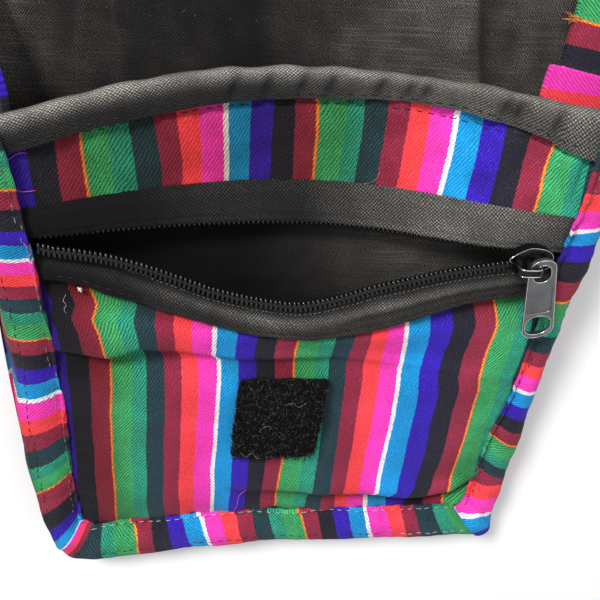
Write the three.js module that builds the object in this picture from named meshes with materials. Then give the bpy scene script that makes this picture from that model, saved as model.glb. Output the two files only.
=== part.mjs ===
import * as THREE from 'three';

// Small cloth crossbody bag lying on its back with the flap thrown open.
// Millimetres. X runs across the bag, Y from its bottom to its mouth, Z up from the table.
// The origin is on the flat underside of the back.

// Cloth thickness and the running gaps between pieces
const OUTER_CLOTH = 1.2;
const LINING_CLOTH = 1.0;
const GUSSET_CLOTH = 1.4;
const STRAP_CLOTH = 2.0;
const BINDING_EDGE = 1.2;
const BINDING_ROLL = 2.0;
const PLY_GAP = 0.35;
const SEAM_TRIM = 0.02;

// Seam and lining settings
const LAP = 2.2;
const FOOT_FLANGE = 1.8;
const FOOT_Z = 2.3;
const EDGE_DROP = 1.6;
const POCKET_DEPTH_Z = 10;
const POCKET_SEAM_DEPTH = 1.9;
const POCKET_SIDE_DEPTH = 4.0;
const POCKET_HALF_WIDTH = 57;
const POCKET_TOP_Y = 60.5;
const POCKET_LOW_Y = -46.5;

// Zip, slider and pull
const COIL_HALF_WIDTH = 1.6;
const COIL_HALF_HEIGHT = 1.1;
const LIP_ROUND = 0.7;
const COIL_LEFT_X = -57.6;
const COIL_RIGHT_X = 47.2;
const SLIDER = { x: 53.0, y: 48.8, z: 26.2, length: 10.7, width: 7.2, height: 2.9 };
const BRIDGE = { left: 48.5, right: 55.1, y: 47.4, width: 1.8, leg: 1.3, top: 34.1, bar: 1.2 };
const TAB = { x: 54.95, y: 47.4, z: 31.5, yaw: 11.5, pitch: 12, thick: 1.4, half: 3.55, head: 3.0, tail: 21.4 };
const TAB_EYE = { half: 2.15, top: 1.6, low: -3.3 };
const TAB_HOLE = { half: 2.5, top: -14.6, low: -20.0 };

// Hook and loop patches: centre, size and the lean of the side edges
const LOOP_PATCH = { x: -3.4, y: -3.4, width: 23.9, height: 28.5, lean: 1.6, thick: 2.2 };
const HOOK_PATCH = { x: 0, y: 168, width: 24, height: 26, thick: 1.8 };
const STRAP_WIDTH = 20;

// Lines across the front, from the mouth down to the bottom seam.
// x: side ends; y and z: at the left end, the middle and the right end.
// spread: how soon the line leaves its middle value on the left and on the right, small for a sharp sag.
const FRONT_LINES = [
  { name: 'mouth_edge', x: [-66.4, 65.4], y: [77.3, 87.5, 82.5], z: [27, 15, 27], spread: [2, 2] },
  { name: 'band_top', x: [-65.8, 65], y: [71, 80.4, 73], z: [27, 15.5, 27], spread: [1, 1.3] },
  { name: 'band_low', x: [-63.6, 64], y: [57, 62, 57.5], z: [26, 17, 26], spread: [1.6, 0.8] },
  { name: 'placket_low', x: [-62.8, 63], y: [50.5, 52.7, 48.7], z: [25, 18, 24.6], spread: [1.6, 0.62] },
  { name: 'lip_edge', x: [-62.4, 62.8], y: [47.8, 34.6, 45.3], z: [24, 26, 23.6], spread: [0.55, 0.55] },
  { name: 'lip_low', x: [-62.5, 63.2], y: [37.8, 24.9, 35.2], z: [22.5, 25, 22.5], spread: [0.6, 0.64] },
  { name: 'crease', x: [-62.6, 63.4], y: [17.6, 16.7, 10], z: [19.5, 21.2, 18.6], spread: [2, 2] },
  { name: 'chest', x: [-62.7, 63], y: [4, 4, 0], z: [17.5, 22, 17], spread: [2, 2] },
  { name: 'belly', x: [-62.6, 60.6], y: [-20, -20, -20], z: [14, 18.6, 13.6], spread: [2, 2] },
  { name: 'kink', x: [-62, 58.6], y: [-44, -41.5, -41.5], z: [11, 14, 10.6], spread: [2, 2] },
  { name: 'bottom_seam', x: [-60, 57.4], y: [-56.5, -50.4, -50.4], z: [9.3, 8.5, 9.3], spread: [2, 2] },
];
const MOUTH_EDGE = 0;
const BAND_TOP = 1;
const BAND_LOW = 2;
const PLACKET_LOW = 3;
const LIP_EDGE = 4;
const LIP_LOW = 5;
const BOTTOM_SEAM = 10;

// Soft dents and folds pressed into the front: place, reach and lift
const FRONT_FOLDS = [
  { name: 'left_fold', x: -47, y: 24, reachX: 16, reachY: 7, lift: 2.4 },
  { name: 'left_hollow', x: -44, y: 13, reachX: 18, reachY: 5, lift: -1.6 },
  { name: 'right_hollow', x: 42, y: 14, reachX: 16, reachY: 7, lift: -1.4 },
  { name: 'corner_dent', x: 47, y: -36, reachX: 9, reachY: 10, lift: -1.8 },
  { name: 'corner_puff', x: -42, y: -40, reachX: 13, reachY: 9, lift: 1.3 },
  { name: 'lip_pull', x: 2, y: 30, reachX: 18, reachY: 6, lift: 1.2 },
];

// Lines across the back and flap, from the bottom hem to the flap's end.
// inset: how far the lining stops inside the edge; lift: rise of the left end, the middle and the right end.
const BACK_LINES = [
  { name: 'bottom_hem', x: [-57.5, 56], y: [-70.2, -64.1, -62.7], lift: [0, 0, 0], inset: 9 },
  { name: 'bottom_round', x: [-66, 63.5], y: [-69.2, -63.4, -62.6], lift: [0, 0, 0], inset: 9 },
  { name: 'corner_round', x: [-70.3, 67], y: [-64.6, -61.5, -60], lift: [0, 0, 0], inset: 9 },
  { name: 'low', x: [-73.8, 67.9], y: [-53, -51, -48], lift: [0, 0, 0], inset: 9 },
  { name: 'middle', x: [-78.2, 69.8], y: [5, 5, 5], lift: [0, 0, 0], inset: 9 },
  { name: 'zip', x: [-77.4, 71.6], y: [48, 48, 48], lift: [0, 0, 0], inset: 9 },
  { name: 'mouth', x: [-79.4, 77.4], y: [82, 82, 82], lift: [0, 0, 0], inset: 8 },
  { name: 'flap_root', x: [-76.5, 76.5], y: [104, 104, 104], lift: [0, 0.4, 0], inset: 3 },
  { name: 'flap_middle', x: [-75.5, 75.5], y: [150, 150, 150], lift: [0.6, 1.8, 0.4], inset: 2.5 },
  { name: 'flap_low', x: [-74.5, 74.5], y: [190, 190, 190], lift: [2.4, 0.6, 1.6], inset: 2.5 },
  { name: 'flap_corner', x: [-70, 70], y: [201.5, 202, 201.5], lift: [3.0, 0.4, 2.0], inset: 3 },
  { name: 'flap_end', x: [-61, 61], y: [205, 206, 205], lift: [3.0, 0.4, 2.0], inset: 3.5 },
];

// Stations round the side strip, from the left mouth end down, along the bottom and up to the right mouth end.
// seam: where it meets the front; foot: where it meets the back; edge: from the seam out to the stitched fold
// where the flat band turns down into the side wall; lap: height of the band's folded inner edge over the front.
const GUSSET_STATIONS = [
  { name: 'left_mouth', seam: [-66.4, 76.6], foot: [-78.1, 79.5], edge: 9.0, seamZ: 27, lap: 3.0, bulge: 1.0 },
  { name: 'left_band', seam: [-64.6, 64], foot: [-77.1, 64.9], edge: 8.0, seamZ: 26.4, lap: 2.5, bulge: 1.2 },
  { name: 'left_zip', seam: [-62.8, 47], foot: [-76.2, 47], edge: 6.8, seamZ: 24, lap: 2.4, bulge: 1.2 },
  { name: 'left_middle', seam: [-62.8, 12], foot: [-77, 9.7], edge: 6.4, seamZ: 18.6, lap: 2.2, bulge: 1.2 },
  { name: 'left_low', seam: [-63.2, -26], foot: [-75.5, -35.6], edge: 11.4, seamZ: 13, lap: 2.2, bulge: 1.4 },
  { name: 'left_turn', seam: [-62.9, -45], foot: [-71.8, -56.3], edge: 12.4, seamZ: 10.8, lap: 2.2, bulge: 1.2 },
  { name: 'left_corner', seam: [-61.6, -54.4], foot: [-68.5, -66.4], edge: 12.6, seamZ: 9.6, lap: 2.1, bulge: 1.0 },
  { name: 'left_return', seam: [-52, -55.2], foot: [-57.2, -68.8], edge: 13.8, seamZ: 9, lap: 2.1, bulge: 1.0 },
  { name: 'bottom_left', seam: [-30, -52.4], foot: [-31.3, -66.1], edge: 13.2, seamZ: 8.7, lap: 2.1, bulge: 1.2 },
  { name: 'bottom_middle', seam: [0, -50.4], foot: [0, -62.8], edge: 11.8, seamZ: 8.5, lap: 2.1, bulge: 1.2 },
  { name: 'bottom_right', seam: [30, -50.6], foot: [31.9, -63.1], edge: 12.0, seamZ: 8.7, lap: 2.1, bulge: 1.2 },
  { name: 'right_return', seam: [49.5, -50.4], foot: [54.6, -61.4], edge: 11.5, seamZ: 9, lap: 2.1, bulge: 1.0 },
  { name: 'right_corner', seam: [57.4, -48], foot: [65.3, -61], edge: 14.6, seamZ: 9.6, lap: 2.1, bulge: 1.0 },
  { name: 'right_turn', seam: [58.9, -40], foot: [66.4, -48.7], edge: 10.9, seamZ: 10.8, lap: 2.2, bulge: 1.2 },
  { name: 'right_low', seam: [60.2, -24], foot: [67.7, -28.8], edge: 8.1, seamZ: 13, lap: 2.2, bulge: 1.2 },
  { name: 'right_middle', seam: [63.4, 10], foot: [68.7, 9.2], edge: 4.2, seamZ: 18.2, lap: 2.2, bulge: 1.0 },
  { name: 'right_zip', seam: [63.4, 47], foot: [70.4, 47], edge: 5.5, seamZ: 23.8, lap: 2.4, bulge: 1.0 },
  { name: 'right_band', seam: [64.8, 64], foot: [75.8, 64.7], edge: 7.5, seamZ: 26.4, lap: 2.5, bulge: 1.0 },
  { name: 'right_mouth', seam: [65.4, 77.6], foot: [76.3, 79.3], edge: 8.5, seamZ: 27, lap: 3.0, bulge: 1.0 },
];

// Middle line of the strap from its right root round to its left root; roll turns it from flat to on edge.
const STRAP_PATH = [
  { name: 'right_root', x: 64.4, y: 62, z: 6.9, roll: 17 },
  { name: 'right_sewn', x: 64.6, y: 76, z: 6.9, roll: 17 },
  { name: 'right_mouth', x: 65.4, y: 84, z: 6.7, roll: 12 },
  { name: 'right_bend', x: 66.8, y: 92, z: 5.8, roll: 6 },
  { name: 'right_lie', x: 69, y: 106, z: 4.6, roll: 0 },
  { name: 'right_run', x: 72, y: 150, z: 5.0, roll: 0 },
  { name: 'right_edge', x: 78, y: 200, z: 6.5, roll: 0 },
  { name: 'right_drop', x: 84, y: 245, z: 2.2, roll: 6 },
  { name: 'right_twist', x: 96, y: 310, z: 7.2, roll: 40 },
  { name: 'right_stand', x: 106, y: 380, z: 10.6, roll: 84 },
  { name: 'far_right', x: 92, y: 455, z: 10.6, roll: 90 },
  { name: 'far_right_bend', x: 50, y: 505, z: 10.6, roll: 90 },
  { name: 'far_middle', x: -4, y: 520, z: 10.6, roll: 90 },
  { name: 'far_left_bend', x: -58, y: 502, z: 10.6, roll: 90 },
  { name: 'far_left', x: -100, y: 448, z: 10.6, roll: 90 },
  { name: 'left_stand', x: -112, y: 372, z: 10.6, roll: 84 },
  { name: 'left_twist', x: -104, y: 300, z: 7.2, roll: 40 },
  { name: 'left_drop', x: -94, y: 236, z: 2.2, roll: 6 },
  { name: 'left_edge', x: -88, y: 190, z: 5.8, roll: 0 },
  { name: 'left_run', x: -82, y: 140, z: 4.8, roll: 0 },
  { name: 'left_lie', x: -79.5, y: 112, z: 4.5, roll: 0 },
  { name: 'left_bend', x: -78.5, y: 99, z: 6.2, roll: 14 },
  { name: 'left_mouth', x: -73.6, y: 90, z: 9.2, roll: 42 },
  { name: 'left_sewn', x: -68.6, y: 81, z: 12.7, roll: 61 },
  { name: 'left_root', x: -68.6, y: 62, z: 12.7, roll: 61 },
];

const COLOURS = {
  stripes: 0xa8324f,
  black_cloth: 0x2a282c,
  lining: 0x1d1c1f,
  pile: 0x18171a,
  coil: 0x161518,
  gunmetal: 0x6c6c70,
};

function material(slot, roughness, metalness) {
  return new THREE.MeshStandardMaterial({ color: COLOURS[slot], roughness, metalness, name: slot });
}
const STRIPES = material('stripes', 0.9, 0);
const BLACK_CLOTH = material('black_cloth', 0.92, 0);
const LINING = material('lining', 0.9, 0);
const PILE = material('pile', 0.98, 0);
const COIL = material('coil', 0.5, 0);
const GUNMETAL = material('gunmetal', 0.3, 0.9);

const bag = new THREE.Group();
bag.name = 'fringe_crossbody_bag';

function add(name, geometry, look) {
  geometry.computeVertexNormals();
  const mesh = new THREE.Mesh(geometry, look);
  mesh.name = name;
  bag.add(mesh);
}

const mix = THREE.MathUtils.lerp;

// Smooth value between four neighbouring rows
function spline(before, from, to, after, t) {
  const pull = (to - before) / 2;
  const push = (after - from) / 2;
  const bend = 2 * (from - to) + pull + push;
  const sag = 3 * (to - from) - 2 * pull - push;
  return ((bend * t + sag) * t + pull) * t + from;
}

// Reads any numeric column of a table at a position between its rows
function rowValue(rows, position, read) {
  const last = rows.length - 1;
  const low = Math.min(Math.max(Math.floor(position), 0), last - 1);
  const at = (i) => read(rows[Math.min(Math.max(i, 0), last)]);
  return spline(at(low - 1), at(low), at(low + 1), at(low + 2), position - low);
}

// One coordinate of a line across the bag: a side value, a middle value and the other side value
function across(rows, position, s, read) {
  const end = s < 0 ? 0 : 1;
  const side = rowValue(rows, position, (row) => read(row)[2 * end]);
  const middle = rowValue(rows, position, (row) => read(row)[1]);
  const spread = rowValue(rows, position, (row) => (row.spread ?? [2, 2])[end]);
  const share = (1 - Math.exp(-((s / spread) ** 2))) / (1 - Math.exp(-(1 / spread ** 2)));
  return mix(middle, side, share);
}

function foldLift(x, y) {
  let lift = 0;
  for (const fold of FRONT_FOLDS) {
    const dx = (x - fold.x) / fold.reachX;
    const dy = (y - fold.y) / fold.reachY;
    lift += fold.lift * Math.exp(-dx * dx - dy * dy);
  }
  return lift;
}

// The front as one soft surface: u across it, position down the named lines
function front(u, position) {
  const s = 2 * u - 1;
  const left = rowValue(FRONT_LINES, position, (row) => row.x[0]);
  const right = rowValue(FRONT_LINES, position, (row) => row.x[1]);
  const x = mix(left, right, u);
  const y = across(FRONT_LINES, position, s, (row) => row.y);
  const edge = 1 - s ** 8;
  const z = across(FRONT_LINES, position, s, (row) => row.z) + edge * foldLift(x, y);
  return new THREE.Vector3(x, y, z);
}

// Height of the front under a point, found by halving along its lines
function frontHeight(x, y) {
  let high = MOUTH_EDGE;
  let low = BOTTOM_SEAM;
  let point = front(0.5, 5);
  for (let step = 0; step < 24; step += 1) {
    const position = (high + low) / 2;
    const left = rowValue(FRONT_LINES, position, (row) => row.x[0]);
    const right = rowValue(FRONT_LINES, position, (row) => row.x[1]);
    point = front(THREE.MathUtils.clamp((x - left) / (right - left), 0, 1), position);
    if (point.y > y) high = position;
    else low = position;
  }
  return point.z;
}

// A closed piece of cloth: a surface given thickness to both sides
function sheet(name, surface, thickness, cellsU, cellsV, look) {
  const geometry = new THREE.BoxGeometry(1, 1, 1, cellsU, cellsV, 1);
  const corners = geometry.attributes.position;
  const step = 0.002;
  for (let i = 0; i < corners.count; i += 1) {
    const u = corners.getX(i) + 0.5;
    const v = corners.getY(i) + 0.5;
    const alongU = surface(Math.min(u + step, 1), v).sub(surface(Math.max(u - step, 0), v));
    const alongV = surface(u, Math.min(v + step, 1)).sub(surface(u, Math.max(v - step, 0)));
    const normal = alongU.cross(alongV).normalize();
    const ply = typeof thickness === 'function' ? thickness(u, v) : thickness;
    const point = surface(u, v).addScaledVector(normal, corners.getZ(i) * ply);
    corners.setXYZ(i, point.x, point.y, point.z);
  }
  add(name, geometry, look);
}

// A round-edged rod: an oval carried along a path of points with side and up directions
function rod(name, path, halfWidth, halfHeight, cells, look) {
  const round = 8;
  const geometry = new THREE.CylinderGeometry(1, 1, 1, round, cells, false);
  const corners = geometry.attributes.position;
  for (let i = 0; i < corners.count; i += 1) {
    const { point, side, up } = path(0.5 - corners.getY(i));
    point.addScaledVector(side, corners.getX(i) * halfWidth);
    point.addScaledVector(up, corners.getZ(i) * halfHeight);
    corners.setXYZ(i, point.x, point.y, point.z);
  }
  add(name, geometry, look);
}

// Front pieces: v runs up the bag between two of the front lines
function frontPiece(from, to, lift = 0) {
  return (u, v) => {
    const point = front(u, mix(to - SEAM_TRIM, from + SEAM_TRIM, v));
    point.z += lift;
    return point;
  };
}

const rolled = (u, v) => BINDING_EDGE + BINDING_ROLL * Math.sin(Math.PI * v) ** 0.5;
sheet('mouth_binding', frontPiece(MOUTH_EDGE, BAND_TOP), rolled, 22, 4, BLACK_CLOTH);
sheet('front_band', frontPiece(BAND_TOP, BAND_LOW), OUTER_CLOTH, 20, 3, STRIPES);
sheet('zip_placket', frontPiece(BAND_LOW, PLACKET_LOW), OUTER_CLOTH, 22, 3, BLACK_CLOTH);

// Lower strip: from the pocket panel's top up to the coil, softly rounded
function lipStrip(u, v) {
  const low = front(u, LIP_LOW - SEAM_TRIM);
  const top = front(u, LIP_EDGE);
  top.y -= COIL_HALF_WIDTH + PLY_GAP;
  const point = low.lerp(top, v);
  point.z += LIP_ROUND * Math.sin(Math.PI * v);
  return point;
}
sheet('zip_tape_lower', lipStrip, OUTER_CLOTH, 26, 3, BLACK_CLOTH);
sheet('pocket_panel', frontPiece(LIP_LOW, BOTTOM_SEAM), OUTER_CLOTH, 20, 15, STRIPES);

// Nylon coils: the lower one on the sagging lip, the upper one under the placket's edge
function coilPath(position, drop, shift) {
  const place = (t) => {
    const left = FRONT_LINES[position].x[0];
    const right = FRONT_LINES[position].x[1];
    const x = mix(COIL_LEFT_X, COIL_RIGHT_X, t);
    const point = front((x - left) / (right - left), position);
    point.y += shift;
    point.z += drop;
    return point;
  };
  return (t) => {
    const tangent = place(Math.min(t + 0.01, 1)).sub(place(Math.max(t - 0.01, 0))).normalize();
    const up = new THREE.Vector3(0, 0, 1).addScaledVector(tangent, -tangent.z).normalize();
    const side = up.clone().cross(tangent);
    return { point: place(t), side, up };
  };
}
rod('zip_coil_lower', coilPath(LIP_EDGE, 0.3, 0), COIL_HALF_WIDTH, COIL_HALF_HEIGHT, 30, COIL);
rod('zip_coil_upper', coilPath(PLACKET_LOW, -2.2, 0.6), COIL_HALF_WIDTH, COIL_HALF_HEIGHT, 18, COIL);

// Pocket lining: hangs from the placket, sags inside and comes back up to the bottom seam
function pocketLining(u, v) {
  const s = 2 * u - 1;
  const x = s * POCKET_HALF_WIDTH;
  const y = mix(POCKET_LOW_Y, POCKET_TOP_Y - 3.5 * s * s, v);
  const over = frontHeight(x, y);
  const sides = THREE.MathUtils.smoothstep(1 - v, 0, 0.06) * THREE.MathUtils.smoothstep(v, 0, 0.12);
  const rest = Math.min(over - POCKET_SEAM_DEPTH, POCKET_DEPTH_Z);
  const seam = Math.max(over - POCKET_SEAM_DEPTH - POCKET_SIDE_DEPTH * sides, rest);
  const hang = Math.sin(Math.PI * v) ** 0.6 * (1 - Math.abs(s) ** 6);
  return new THREE.Vector3(x, y, mix(seam, POCKET_DEPTH_Z, hang));
}
sheet('pocket_lining', pocketLining, LINING_CLOTH, 12, 16, LINING);

// Side strip: a flat band lapped over the front, a stitched fold, a side wall and a flange on the back
function gusset(u, v) {
  const position = u * (GUSSET_STATIONS.length - 1);
  const read = (pick) => rowValue(GUSSET_STATIONS, position, pick);
  const seam = new THREE.Vector2(read((row) => row.seam[0]), read((row) => row.seam[1]));
  const foot = new THREE.Vector2(read((row) => row.foot[0]), read((row) => row.foot[1]));
  const seamZ = read((row) => row.seamZ);
  const lap = read((row) => row.lap);
  const bulge = read((row) => row.bulge);
  const width = foot.distanceTo(seam);
  const outward = foot.clone().sub(seam).normalize();
  const edge = read((row) => row.edge);
  const top = seamZ + lap;
  const edgeZ = top - EDGE_DROP;
  const profile = [
    { out: width + FOOT_FLANGE, z: FOOT_Z },
    { out: width, z: FOOT_Z },
    { out: mix(width, edge, 0.3) + 0.4 * bulge, z: mix(FOOT_Z, edgeZ, 0.34) },
    { out: mix(width, edge, 0.75) + 0.4 * bulge, z: mix(FOOT_Z, edgeZ, 0.76) },
    { out: edge, z: edgeZ },
    { out: 0.45 * edge, z: mix(top, edgeZ, 0.45) + 0.5 * bulge },
    { out: -0.5 * LAP, z: 0 },
    { out: -LAP, z: 0 },
  ];
  const index = Math.min(Math.floor(v * (profile.length - 1)), profile.length - 2);
  const share = v * (profile.length - 1) - index;
  const reach = (step) => {
    const place = seam.clone().addScaledVector(outward, step.out);
    const z = step.out < 0 ? frontHeight(place.x, place.y) + lap : step.z;
    return new THREE.Vector3(place.x, place.y, z);
  };
  return reach(profile[index]).lerp(reach(profile[index + 1]), share);
}
sheet('gusset', gusset, GUSSET_CLOTH, 64, 7, STRIPES);

// Back and flap in one striped piece, with the lining on it
function back(rise, trimmed) {
  return (u, v) => {
    const position = v * (BACK_LINES.length - 1);
    const s = 2 * u - 1;
    const inset = trimmed ? rowValue(BACK_LINES, position, (row) => row.inset) : 0;
    const left = rowValue(BACK_LINES, position, (row) => row.x[0]) + inset;
    const right = rowValue(BACK_LINES, position, (row) => row.x[1]) - inset;
    const lift = across(BACK_LINES, position, s, (row) => row.lift);
    const y = across(BACK_LINES, position, s, (row) => row.y);
    const endTrim = trimmed ? inset * (1 - 2 * v) : 0;
    return new THREE.Vector3(mix(left, right, u), y + endTrim, rise + Math.max(lift, 0));
  };
}
sheet('back_outer', back(OUTER_CLOTH / 2, false), OUTER_CLOTH, 8, 22, STRIPES);
const liningRise = OUTER_CLOTH + PLY_GAP + LINING_CLOTH / 2;
sheet('back_lining', back(liningRise, true), LINING_CLOTH, 8, 22, LINING);

// Hook and loop patches
function loopPatch(u, v) {
  const x = LOOP_PATCH.x + (u - 0.5) * LOOP_PATCH.width + (v - 0.5) * LOOP_PATCH.lean;
  const y = LOOP_PATCH.y + (v - 0.5) * LOOP_PATCH.height;
  const rise = OUTER_CLOTH / 2 + PLY_GAP + LOOP_PATCH.thick / 2;
  return new THREE.Vector3(x, y, frontHeight(x, y) + rise);
}
sheet('loop_patch', loopPatch, LOOP_PATCH.thick, 8, 8, PILE);

const flapPoint = back(liningRise, true);
function hookPatch(u, v) {
  const x = HOOK_PATCH.x + (u - 0.5) * HOOK_PATCH.width;
  const y = HOOK_PATCH.y + (v - 0.5) * HOOK_PATCH.height;
  let low = 0.5;
  let high = 1;
  let point = flapPoint(0.5, low);
  for (let step = 0; step < 24; step += 1) {
    const position = (low + high) / 2;
    point = flapPoint(0.5 + x / 145, position);
    if (point.y < y) low = position;
    else high = position;
  }
  const rise = LINING_CLOTH / 2 + PLY_GAP + HOOK_PATCH.thick / 2;
  return new THREE.Vector3(x, y, point.z + rise);
}
sheet('hook_patch', hookPatch, HOOK_PATCH.thick, 6, 6, PILE);

// Strap: a flat strip that lies down at its roots and stands on edge round the far bend
function strap(u, v) {
  const position = u * (STRAP_PATH.length - 1);
  const place = (at) => {
    const read = (pick) => rowValue(STRAP_PATH, at, pick);
    return new THREE.Vector3(read((row) => row.x), read((row) => row.y), read((row) => row.z));
  };
  const last = STRAP_PATH.length - 1;
  const tangent = place(Math.min(position + 0.05, last)).sub(place(Math.max(position - 0.05, 0)));
  tangent.normalize();
  const flat = new THREE.Vector3(0, 0, 1).cross(tangent).normalize();
  const roll = rowValue(STRAP_PATH, position, (row) => row.roll);
  const wide = flat.applyAxisAngle(tangent, THREE.MathUtils.degToRad(roll));
  return place(position).addScaledVector(wide, (v - 0.5) * STRAP_WIDTH);
}
sheet('strap', strap, STRAP_CLOTH, 78, 2, STRIPES);

// Slider: a body pointed where the coils part, and a bridge over it
const body = new THREE.Shape();
const halfLength = SLIDER.length / 2;
const halfWidth = SLIDER.width / 2;
body.moveTo(-halfLength, 0);
body.quadraticCurveTo(-0.55 * halfLength, -0.95 * halfWidth, 0.1 * halfLength, -halfWidth);
body.quadraticCurveTo(0.85 * halfLength, -halfWidth, halfLength, -0.6 * halfWidth);
body.lineTo(halfLength, 0.6 * halfWidth);
body.quadraticCurveTo(0.85 * halfLength, halfWidth, 0.1 * halfLength, halfWidth);
body.quadraticCurveTo(-0.55 * halfLength, 0.95 * halfWidth, -halfLength, 0);
const bodyShape = new THREE.ExtrudeGeometry(body, { depth: SLIDER.height, bevelEnabled: false, curveSegments: 6 });
bodyShape.translate(SLIDER.x, SLIDER.y, SLIDER.z);
add('zip_slider', bodyShape, GUNMETAL);

const arch = new THREE.Shape();
const archFoot = SLIDER.z + SLIDER.height + 0.1;
const archRound = 1.2;
arch.moveTo(BRIDGE.left, archFoot);
arch.lineTo(BRIDGE.left, BRIDGE.top - archRound);
arch.quadraticCurveTo(BRIDGE.left, BRIDGE.top, BRIDGE.left + archRound, BRIDGE.top);
arch.lineTo(BRIDGE.right - archRound, BRIDGE.top);
arch.quadraticCurveTo(BRIDGE.right, BRIDGE.top, BRIDGE.right, BRIDGE.top - archRound);
arch.lineTo(BRIDGE.right, archFoot);
arch.lineTo(BRIDGE.right - BRIDGE.leg, archFoot);
arch.lineTo(BRIDGE.right - BRIDGE.leg, BRIDGE.top - BRIDGE.bar);
arch.lineTo(BRIDGE.left + BRIDGE.leg, BRIDGE.top - BRIDGE.bar);
arch.lineTo(BRIDGE.left + BRIDGE.leg, archFoot);
arch.closePath();
const bridge = new THREE.ExtrudeGeometry(arch, { depth: BRIDGE.width, bevelEnabled: false, curveSegments: 4 });
bridge.rotateX(Math.PI / 2);
bridge.translate(0, BRIDGE.y + BRIDGE.width / 2, 0);
add('slider_bridge', bridge, GUNMETAL);

// Pull tab: a plate with a rounded eye round the bridge's leg and a second hole near its end
function roundedOutline(half, top, low, radius, target) {
  target.moveTo(-half + radius, low);
  target.lineTo(half - radius, low);
  target.quadraticCurveTo(half, low, half, low + radius);
  target.lineTo(half, top - radius);
  target.quadraticCurveTo(half, top, half - radius, top);
  target.lineTo(-half + radius, top);
  target.quadraticCurveTo(-half, top, -half, top - radius);
  target.lineTo(-half, low + radius);
  target.quadraticCurveTo(-half, low, -half + radius, low);
  return target;
}
const plate = roundedOutline(TAB.half, TAB.head, -TAB.tail, 2.6, new THREE.Shape());
plate.holes.push(roundedOutline(TAB_EYE.half, TAB_EYE.top, TAB_EYE.low, 1.7, new THREE.Path()));
plate.holes.push(roundedOutline(TAB_HOLE.half, TAB_HOLE.top, TAB_HOLE.low, 1.9, new THREE.Path()));
const tab = new THREE.ExtrudeGeometry(plate, { depth: TAB.thick, bevelEnabled: false, curveSegments: 6 });
tab.translate(0, 0, -TAB.thick / 2);
tab.rotateX(THREE.MathUtils.degToRad(TAB.pitch));
tab.rotateZ(THREE.MathUtils.degToRad(TAB.yaw));
tab.translate(TAB.x, TAB.y, TAB.z);
add('pull_tab', tab, GUNMETAL);

export default bag;
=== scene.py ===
# %% [markdown]
# A small striped crossbody bag lies on its back with the flap thrown open.
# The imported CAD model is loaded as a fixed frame, in metres, with X across the bag, Y towards the mouth and Z up.
# Every piece below sits where its CAD solid is, and takes that solid's place in the picture.

# %% Load the frame
import math

import bpy
import numpy as np
from mathutils import Matrix, Vector
from mathutils.bvhtree import BVHTree


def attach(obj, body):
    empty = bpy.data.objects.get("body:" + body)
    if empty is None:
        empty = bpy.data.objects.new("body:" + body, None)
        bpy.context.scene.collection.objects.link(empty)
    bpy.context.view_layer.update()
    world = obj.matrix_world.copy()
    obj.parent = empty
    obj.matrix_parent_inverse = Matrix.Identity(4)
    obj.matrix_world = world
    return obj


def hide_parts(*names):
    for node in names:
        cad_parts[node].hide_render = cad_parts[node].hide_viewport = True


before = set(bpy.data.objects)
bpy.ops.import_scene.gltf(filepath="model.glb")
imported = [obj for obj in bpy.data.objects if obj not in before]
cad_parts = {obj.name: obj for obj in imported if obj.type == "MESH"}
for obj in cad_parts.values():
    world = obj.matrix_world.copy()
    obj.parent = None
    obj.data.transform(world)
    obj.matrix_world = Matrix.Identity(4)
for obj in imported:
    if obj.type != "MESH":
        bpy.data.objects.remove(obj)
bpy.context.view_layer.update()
MM = 0.001
print("CAD nodes:", ", ".join(sorted(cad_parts)))

# %% [markdown]
# The camera stands above the mouth side and looks down across the bag towards its bottom.
# Its place was fitted to the corners of the pocket, the band and the patch, so it leans a little to the left.
# It is built from a forward and an up direction, which is easier to check than three angles.

# %% Camera
CAMERA_PLACE = Vector((-17.1, 126.0, 183.5)) * MM
CAMERA_FORWARD = Vector((0.0924, -0.4960, -0.8634)).normalized()
CAMERA_UP = Vector((-0.0089, 0.8666, -0.4989))
CAMERA_LENS = 45.87
SENSOR = 36.0
NEAREST_SEEN = 0.01


def clear_selection():
    bpy.ops.object.select_all(action="DESELECT")


clear_selection()
bpy.ops.object.camera_add(location=CAMERA_PLACE)
camera = bpy.context.active_object
camera.name = "photo_camera"
camera_right = CAMERA_FORWARD.cross(CAMERA_UP).normalized()
camera_up = camera_right.cross(CAMERA_FORWARD)
turn = Matrix((camera_right, camera_up, -CAMERA_FORWARD)).transposed()
camera.rotation_euler = turn.to_euler()
camera.data.lens = CAMERA_LENS
camera.data.sensor_width = SENSOR
camera.data.clip_start = NEAREST_SEEN
bpy.context.scene.camera = camera
print("camera at", [round(c, 4) for c in camera.location])

# %% [markdown]
# The table is a pale sheet, far larger than the picture, so its edge never shows.
# One lamp hangs far beyond the mouth on the left, as a window does, and a weak one close by lifts the right side.
# A pale sky fills the shadows, so that only a soft grey edge is left on the table.

# %% Table and light
FLOOR_SIZE = 6.0
FLOOR_DROP = 0.0006
LAMP_COLOUR = (1.0, 0.99, 0.97)
KEY_PLACE = Vector((-0.62, 1.02, 0.84))
KEY_AIM = Vector((0, 0.01, 0))
KEY_SIZE = 0.3
KEY_POWER = 21.0
SIDE_PLACE = Vector((0.17, 0.14, 0.30))
SIDE_AIM = Vector((0.03, 0.03, 0))
SIDE_SIZE = 0.2
SIDE_POWER = 0.16
SKY_COLOUR = (0.97, 0.98, 1.0, 1.0)
SKY_STRENGTH = 0.52

bpy.ops.mesh.primitive_plane_add(size=FLOOR_SIZE, location=(0, 0, -FLOOR_DROP))
floor = bpy.context.active_object
floor.name = "table"
bpy.ops.object.transform_apply(location=True, rotation=True, scale=True)


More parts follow.
